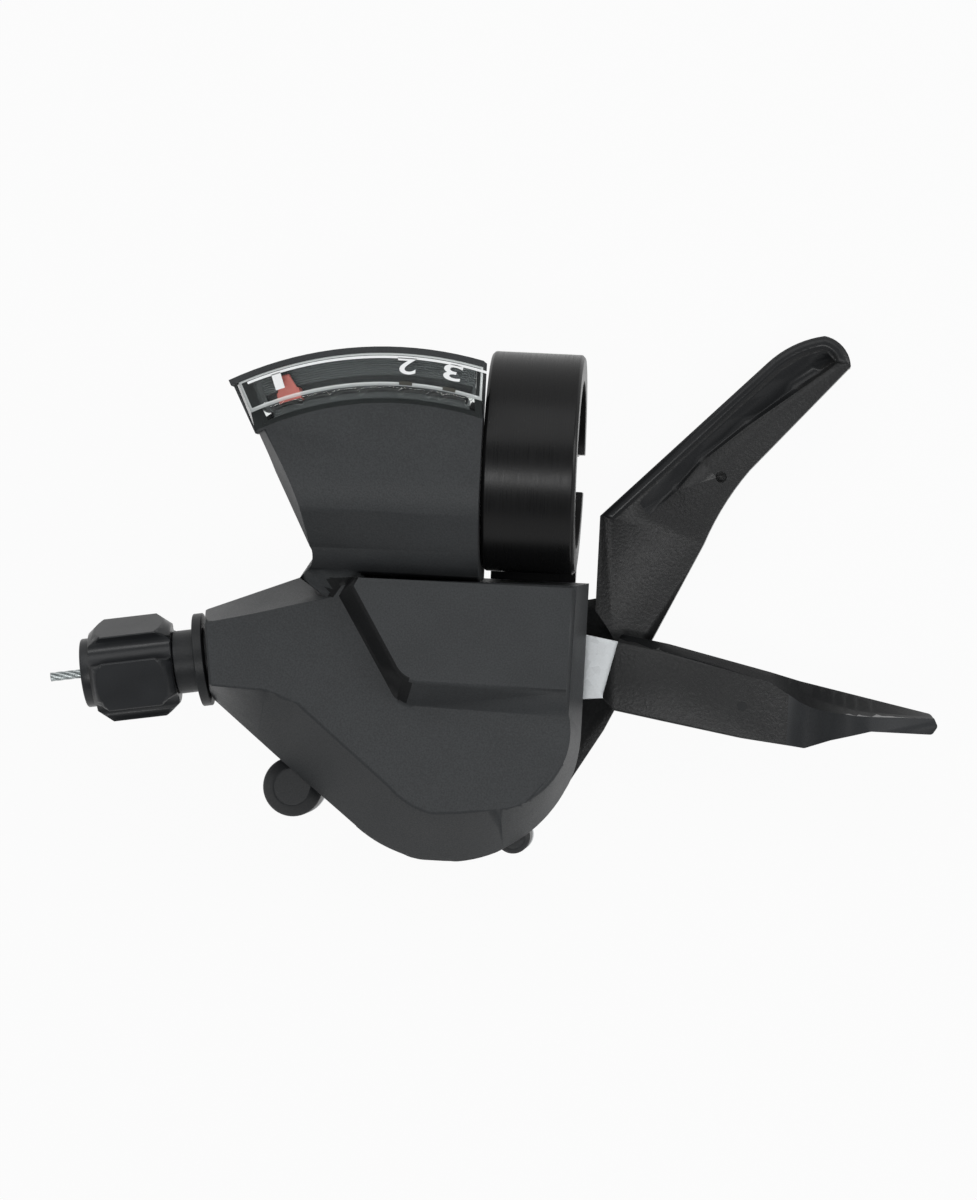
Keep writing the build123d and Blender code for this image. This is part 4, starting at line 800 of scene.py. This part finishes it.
@dataclass
class Adjuster:
    """Cable adjuster and the stranded wire that runs through it."""

    axle: Vector = Vector((-10.3, -35.4, -5.5)) * MM
    wind_r: float = 12.5 * MM
    tilt: float = 9.5
    length: float = 51.9 * MM
    nipple_at: float = 58.0
    nipple_r: float = 1.8 * MM
    nipple_length: float = 4.0 * MM
    wire_r: float = 0.6 * MM
    nipple_edge: float = 0.2 * MM
    lay: float = 8.0 * MM
    strands: int = 6
    strand_swell: float = 1.06
    strand_segments: int = 10
    steps_a_turn: int = 16
    wire_segments: int = 12
    wound_steps: int = 14
    nipple_segments: int = 24
    rim_angle: float = 60.0
    wire_shading: float = 50.0
    boss_edge: float = 0.15 * MM
    knob_edge: float = 0.25 * MM

    def straight_run(self, shape: bmesh.types.BMesh) -> None:
        """Twists the outer strands round a core, along the cable from where it leaves the winder."""
        strand = self.wire_r / 3
        start = []
        for number in range(self.strands):
            turn = Matrix.Rotation(2 * pi * number / self.strands, 4, "Z")
            place = turn @ Matrix.Translation((2 * strand, 0.0, 0.0))
            start += bmesh.ops.create_circle(
                shape, segments=self.strand_segments, radius=self.strand_swell * strand, matrix=place,
            )["verts"]
        rings = start + edges_of(start)
        turns = self.length / self.lay
        steps = round(self.steps_a_turn * turns)
        bmesh.ops.spin(
            shape, geom=rings, cent=(0.0, 0.0, 0.0), axis=UP, dvec=UP * (self.length / steps),
            angle=2 * pi * turns, steps=steps, use_duplicate=False,
        )
        bmesh.ops.create_cone(
            shape, segments=self.strand_segments, radius1=strand, radius2=strand, depth=self.length,
            cap_ends=True, matrix=Matrix.Translation((0.0, 0.0, self.length / 2)),
        )
        bmesh.ops.holes_fill(shape, edges=[e for e in shape.edges if e.is_boundary], sides=0)
        out = Vector((-cos(radians(self.tilt)), -sin(radians(self.tilt)), 0.0))
        away = Vector((-sin(radians(self.tilt)), cos(radians(self.tilt)), 0.0))
        turn = Matrix((away, out.cross(away), out)).transposed().to_4x4()
        place = Matrix.Translation(self.axle + away * self.wind_r)
        bmesh.ops.transform(shape, matrix=place @ turn, verts=shape.verts)

    def wound_end(self, shape: bmesh.types.BMesh) -> None:
        """Lays the wire's end round the winder and puts its nipple on."""
        at = Matrix.Translation(self.axle) @ Matrix.Rotation(radians(self.nipple_at), 4, "Z")
        upright = at @ Matrix.Translation((self.wind_r, 0.0, 0.0)) @ Matrix.Rotation(pi / 2, 4, "X")
        ring = bmesh.ops.create_circle(
            shape, segments=self.wire_segments, radius=self.wire_r, matrix=upright,
        )["verts"]
        rings = ring + edges_of(ring)
        sweep = radians(90 + self.tilt - self.nipple_at)
        bmesh.ops.spin(
            shape, geom=rings, cent=self.axle, axis=UP, angle=sweep, steps=self.wound_steps,
            use_duplicate=False,
        )
        bmesh.ops.holes_fill(shape, edges=[e for e in shape.edges if e.is_boundary], sides=0)
        centre = upright @ Matrix.Translation((0.0, 0.0, self.nipple_length / 2))
        barrel = bmesh.ops.create_cone(
            shape, segments=self.nipple_segments, radius1=self.nipple_r, radius2=self.nipple_r,
            depth=self.nipple_length, cap_ends=True, matrix=centre,
        )["verts"]
        limit = radians(self.rim_angle)
        rims = [edge for edge in edges_of(barrel) if edge.calc_face_angle(0.0) > limit]
        bmesh.ops.bevel(
            shape, geom=rims, offset=self.nipple_edge, segments=2, profile=0.5, affect="EDGES",
            clamp_overlap=True, material=-1,
        )

    def build(self) -> None:
        """Skins the adjuster and winds the wire."""
        Skin("adjuster_boss", CASE, self.boss_edge).build()
        Skin("adjuster_knob", KNOB, self.knob_edge).build()
        shape = bmesh.new()
        self.straight_run(shape)
        self.wound_end(shape)
        bmesh.ops.recalc_face_normals(shape, faces=shape.faces)
        wire = as_piece(shape, "inner_cable_strands", [WIRE], Body.CASE.value)
        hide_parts("inner_cable")
        smooth(wire, self.wire_shading)


@dataclass
class Display:
    """Window, ground, needle and print of the gear display, with painted light and shade on the window.
    """

    lens_top: float = 19.2 * MM
    line_r: float = 45.86 * MM
    line_width: float = 0.32 * MM
    line_ends: Pair = (-14.4, 24.9)
    digit_r: float = 44.76 * MM
    digit_height: float = 2.1 * MM
    digits: tuple[tuple[str, float, float], ...] = (
        ("1", 20.1, 1.2 * MM), ("2", -1.41, 2.4 * MM), ("3", -9.02, 2.4 * MM),
    )
    seam: float = 1e-5
    stroke_swell: float = 0.015
    half_extrusion: float = 0.02
    # The two dark marks on the window's brow are painted shadows of the digits 2 and 3.
    marks: Pair = (-1.4, -9.0)
    mark_r: float = 42.55 * MM
    mark_size: Pair = (1.7 * MM, 0.5 * MM)
    film: float = 0.03 * MM
    lens_edge: float = 0.3 * MM
    needle_edge: float = 0.08 * MM
    flag: Zone = Zone(low=(-60.0, -10.0, 14.4))
    brow: Zone = Zone(low=(-60.0, -20.0, 19.1))

    def turn(self, angle: float) -> Matrix:
        """Places what is made along +Y from the pivot at an angle left of +Y."""
        return Matrix.Translation(PIVOT) @ Matrix.Rotation(radians(angle), 4, "Z")

    def strip(self, name: str, finish: Finish, middle: float, width: float, ends: Pair) -> None:
        """A strip printed on the window, round the needle's pivot; the same strip makes the painted
        shadows of the digits.

        Args:
            name: name of the piece.
            finish: ink, and for the digits' shadows the painted shade.
            middle: radius of the strip's middle.
            width: its width along the radius.
            ends: its ends, degrees left of +Y.
        """
        shape = bmesh.new()
        made = bmesh.ops.create_grid(shape, x_segments=1, y_segments=1, size=0.5)
        size = Matrix.Diagonal((width, self.film, 1.0, 1.0))
        stand = Matrix.Rotation(pi / 2, 4, "X")
        place = Matrix.Translation((middle, 0.0, self.lens_top + self.film / 2))
        start = self.turn(90 + ends[0]) @ place @ stand @ size
        bmesh.ops.transform(shape, matrix=start, verts=made["verts"])
        sweep = ends[1] - ends[0]
        bmesh.ops.spin(
            shape, geom=shape.verts[:] + shape.edges[:] + shape.faces[:], cent=PIVOT, axis=UP,
            angle=radians(sweep), steps=max(3, round(sweep)), use_duplicate=False,
        )
        bmesh.ops.recalc_face_normals(shape, faces=shape.faces)
        as_piece(shape, name, [finish], Body.CASE.value)

    def digit(self, text: str, angle: float, width: float) -> None:
        """One gear number, read from the rider's side.

        Args:
            text: the number.
            angle: its place, degrees left of +Y.
            width: its width in metres.
        """
        curve = bpy.data.curves.new(f"number_{text}", "FONT")
        curve.body = text
        curve.extrude = self.half_extrusion
        curve.offset = self.stroke_swell
        writing = bpy.data.objects.new(f"number_{text}", curve)
        bpy.context.scene.collection.objects.link(writing)
        bpy.context.view_layer.update()
        shape = bmesh.new()
        shape.from_mesh(writing.to_mesh())
        writing.to_mesh_clear()
        bpy.data.objects.remove(writing)
        bmesh.ops.remove_doubles(shape, verts=shape.verts, dist=self.seam)
        xs = [v.co.x for v in shape.verts]
        ys = [v.co.y for v in shape.verts]
        middle = (-(min(xs) + max(xs)) / 2, -(min(ys) + max(ys)) / 2, self.half_extrusion)
        centre = Matrix.Translation(middle)
        across = width / (max(xs) - min(xs))
        tall = self.digit_height / (max(ys) - min(ys))
        scale = Matrix.Diagonal((across, tall, self.film / (2 * self.half_extrusion), 1.0))
        place = Matrix.Translation((0.0, self.digit_r, self.lens_top)) @ Matrix.Rotation(pi, 4, "Z")
        bmesh.ops.transform(shape, matrix=self.turn(angle) @ place @ scale @ centre, verts=shape.verts)
        as_piece(shape, f"number_{text}", [WHITE], Body.CASE.value)

    def build(self) -> None:
        """Skins the display's solids, with a painted highlight on the window's brow; prints its line and
        numbers; and paints the digits' shadows as dark marks.
        """
        # The brow's rounded edge faces get the whitish finish, a painted highlight.
        Skin("display_lens", LENS, self.lens_edge, rounded=self.brow, edge_finish=PAINTED_BROW_HIGHLIGHT).build()
        Skin("display_bed", GROUND, 0.0).build()
        Skin("gear_needle", STRIP, self.needle_edge, patches=((self.flag, RED),)).build()
        self.strip("display_line", WHITE, self.line_r, self.line_width, self.line_ends)
        # Painted shadows of the digits 2 and 3: dark marks on the window's brow.
        half = degrees(self.mark_size[0] / self.mark_r) / 2
        for number, angle in enumerate(self.marks, start=2):
            ends = (angle - half, angle + half)
            self.strip(f"painted_shadow_mark_{number}", DIGIT_SHADOW, self.mark_r, self.mark_size[1], ends)
        for text, angle, width in self.digits:
            self.digit(text, angle, width)


@dataclass
class Mechanism:
    """Pieces inside the case, which keep their CAD shape."""

    def build(self) -> None:
        """Dresses every node that is still shown."""
        for name, node in frame["nodes"].items():
            if node.hide_render:
                continue
            finish = FINISHES[slot_of(name)]
            node.data.materials.clear()
            node.data.materials.append(finish.material())
            log.info("dressed %s in %s", name, finish.name)


@dataclass(frozen=True)
class Lamp:
    """A softbox: its place and its width and height in millimetres, and its power in watts."""

    name: str
    place: Place
    size: Pair
    power: float


@dataclass
class Studio:
    """Floor, lamps, world and the camera at the photograph's angle."""

    target: Vector = Vector((-5.158, -18.368, 0.0)) * MM
    yaw: float = 3.4
    roll: float = 2.9
    distance: float = 650.0 * MM
    scale: float = 0.132 * MM
    image_height: int = 1200
    sensor: float = 36.0
    ambient: float = 0.25
    tint: Colour = (0.94, 0.97, 1.0)
    floor_gap: float = 0.5 * MM
    cove: tuple[Pair, ...] = ((0.0, 0.0), (1.6, 0.0), (2.1, 0.2), (2.45, 0.7), (2.5, 1.5))
    cove_steps: int = 64
    seam: float = 0.01 * MM
    fibre_size: float = 4 * MM
    paper: Pair = (0.40, 0.44)
    white: float = 0.95
    reach: float = 10.0
    lamps: tuple[Lamp, ...] = (
        Lamp("overhead", (-60.0, 420.0, 540.0), (800.0, 520.0), 2.4),
        Lamp("front_strip", (-20.0, -215.0, 640.0), (320.0, 120.0), 1.3),
        Lamp("outboard", (540.0, 90.0, 260.0), (200.0, 380.0), 1.5),
    )

    def sweep(self) -> None:
        """Pale floor that turns up into a wall, white to the camera, which keeps the object's shadow."""
        shape = bmesh.new()
        low = CAD_BOX[0].z - self.floor_gap
        profile = [shape.verts.new((r, 0.0, low + rise)) for r, rise in self.cove]
        edges = [shape.edges.new(pair) for pair in zip(profile, profile[1:])]
        bmesh.ops.spin(
            shape, geom=profile + edges, cent=(0.0, 0.0, 0.0), axis=UP, angle=2 * pi,
            steps=self.cove_steps, use_merge=True, use_duplicate=False,
        )
        bmesh.ops.remove_doubles(shape, verts=shape.verts, dist=self.seam)
        bmesh.ops.recalc_face_normals(shape, faces=shape.faces)
        bmesh.ops.reverse_faces(shape, faces=shape.faces)
        mesh = bpy.data.meshes.new("sweep")
        shape.to_mesh(mesh)
        shape.free()
        material = bpy.data.materials.new("sweep_paper")
        material.use_nodes = True
        graph = Graph(material.node_tree)
        ray = graph.add("ShaderNodeLightPath")
        seen = ray.output("Is Camera Ray").at_least(ray.output("Is Glossy Ray"))
        seen = seen.at_least(ray.output("Is Transmission Ray"))
        fibre = graph.noise(graph.place(), self.fibre_size, detail=3.0)
        dark, light = self.paper
        grey = graph.blend(fibre, (dark,) * 3, (light,) * 3)
        paper = graph.add("ShaderNodeBsdfDiffuse", {}, {"Color": grey})
        glow = graph.add("ShaderNodeEmission", {}, {"Color": (1.0, 1.0, 1.0, 1.0), "Strength": 1.0})
        graph.end(graph.add("ShaderNodeMixShader", {}, {0: seen * self.white, 1: paper, 2: glow}))
        mesh.materials.append(material)
        sweep = bpy.data.objects.new("sweep", mesh)
        bpy.context.scene.collection.objects.link(sweep)

    def world(self) -> None:
        """Dim grey light from above."""
        world = bpy.data.worlds.new("studio")
        world.use_nodes = True
        graph = Graph(world.node_tree)
        sockets = {"Color": (*self.tint, 1.0), "Strength": self.ambient}
        grey = graph.add("ShaderNodeBackground", {}, sockets)
        graph.end(grey, "ShaderNodeOutputWorld")
        bpy.context.scene.world = world

    def light(self, lamp: Lamp) -> None:
        """Puts a lamp up, facing the object.

        Args:
            lamp: the lamp.
        """
        data = bpy.data.lights.new(lamp.name, "AREA")
        data.shape = "RECTANGLE"
        data.size = lamp.size[0] * MM
        data.size_y = lamp.size[1] * MM
        data.energy = lamp.power
        box = bpy.data.objects.new(lamp.name, data)
        box.location = Vector(lamp.place) * MM
        box.rotation_euler = (box.location - self.target).to_track_quat("Z", "Y").to_euler()
        bpy.context.scene.collection.objects.link(box)

    def camera(self) -> None:
        """Camera that looks down on the display as in the photograph."""
        across = Vector((cos(radians(self.yaw)), 0.0, -sin(radians(self.yaw))))
        back = Vector((sin(radians(self.yaw)), 0.0, cos(radians(self.yaw))))
        side = Vector((0.0, 1.0, 0.0))
        right = across * cos(radians(self.roll)) + side * sin(radians(self.roll))
        up = side * cos(radians(self.roll)) - across * sin(radians(self.roll))
        data = bpy.data.cameras.new("camera")
        data.sensor_width = self.sensor
        data.lens = self.sensor * self.distance / (self.scale * self.image_height)
        data.clip_end = self.reach
        camera = bpy.data.objects.new("camera", data)
        turn = Matrix((right, up, back)).transposed().to_4x4()
        camera.matrix_world = Matrix.Translation(self.target + back * self.distance) @ turn
        bpy.context.scene.collection.objects.link(camera)
        bpy.context.scene.camera = camera

    def build(self) -> None:
        """Sets the studio up."""
        self.sweep()
        self.world()
        for lamp in self.lamps:
            self.light(lamp)
        self.camera()


def main() -> None:
    """Builds the sub-assemblies in order."""
    logging.basicConfig(level=logging.INFO, format="%(name)s: %(message)s")
    bpy.context.scene.view_settings.view_transform = "Standard"
    for part in (Shell(), Levers(), Adjuster(), Display(), Mechanism(), Studio()):
        part.build()


if __name__ == "__main__":
    main()
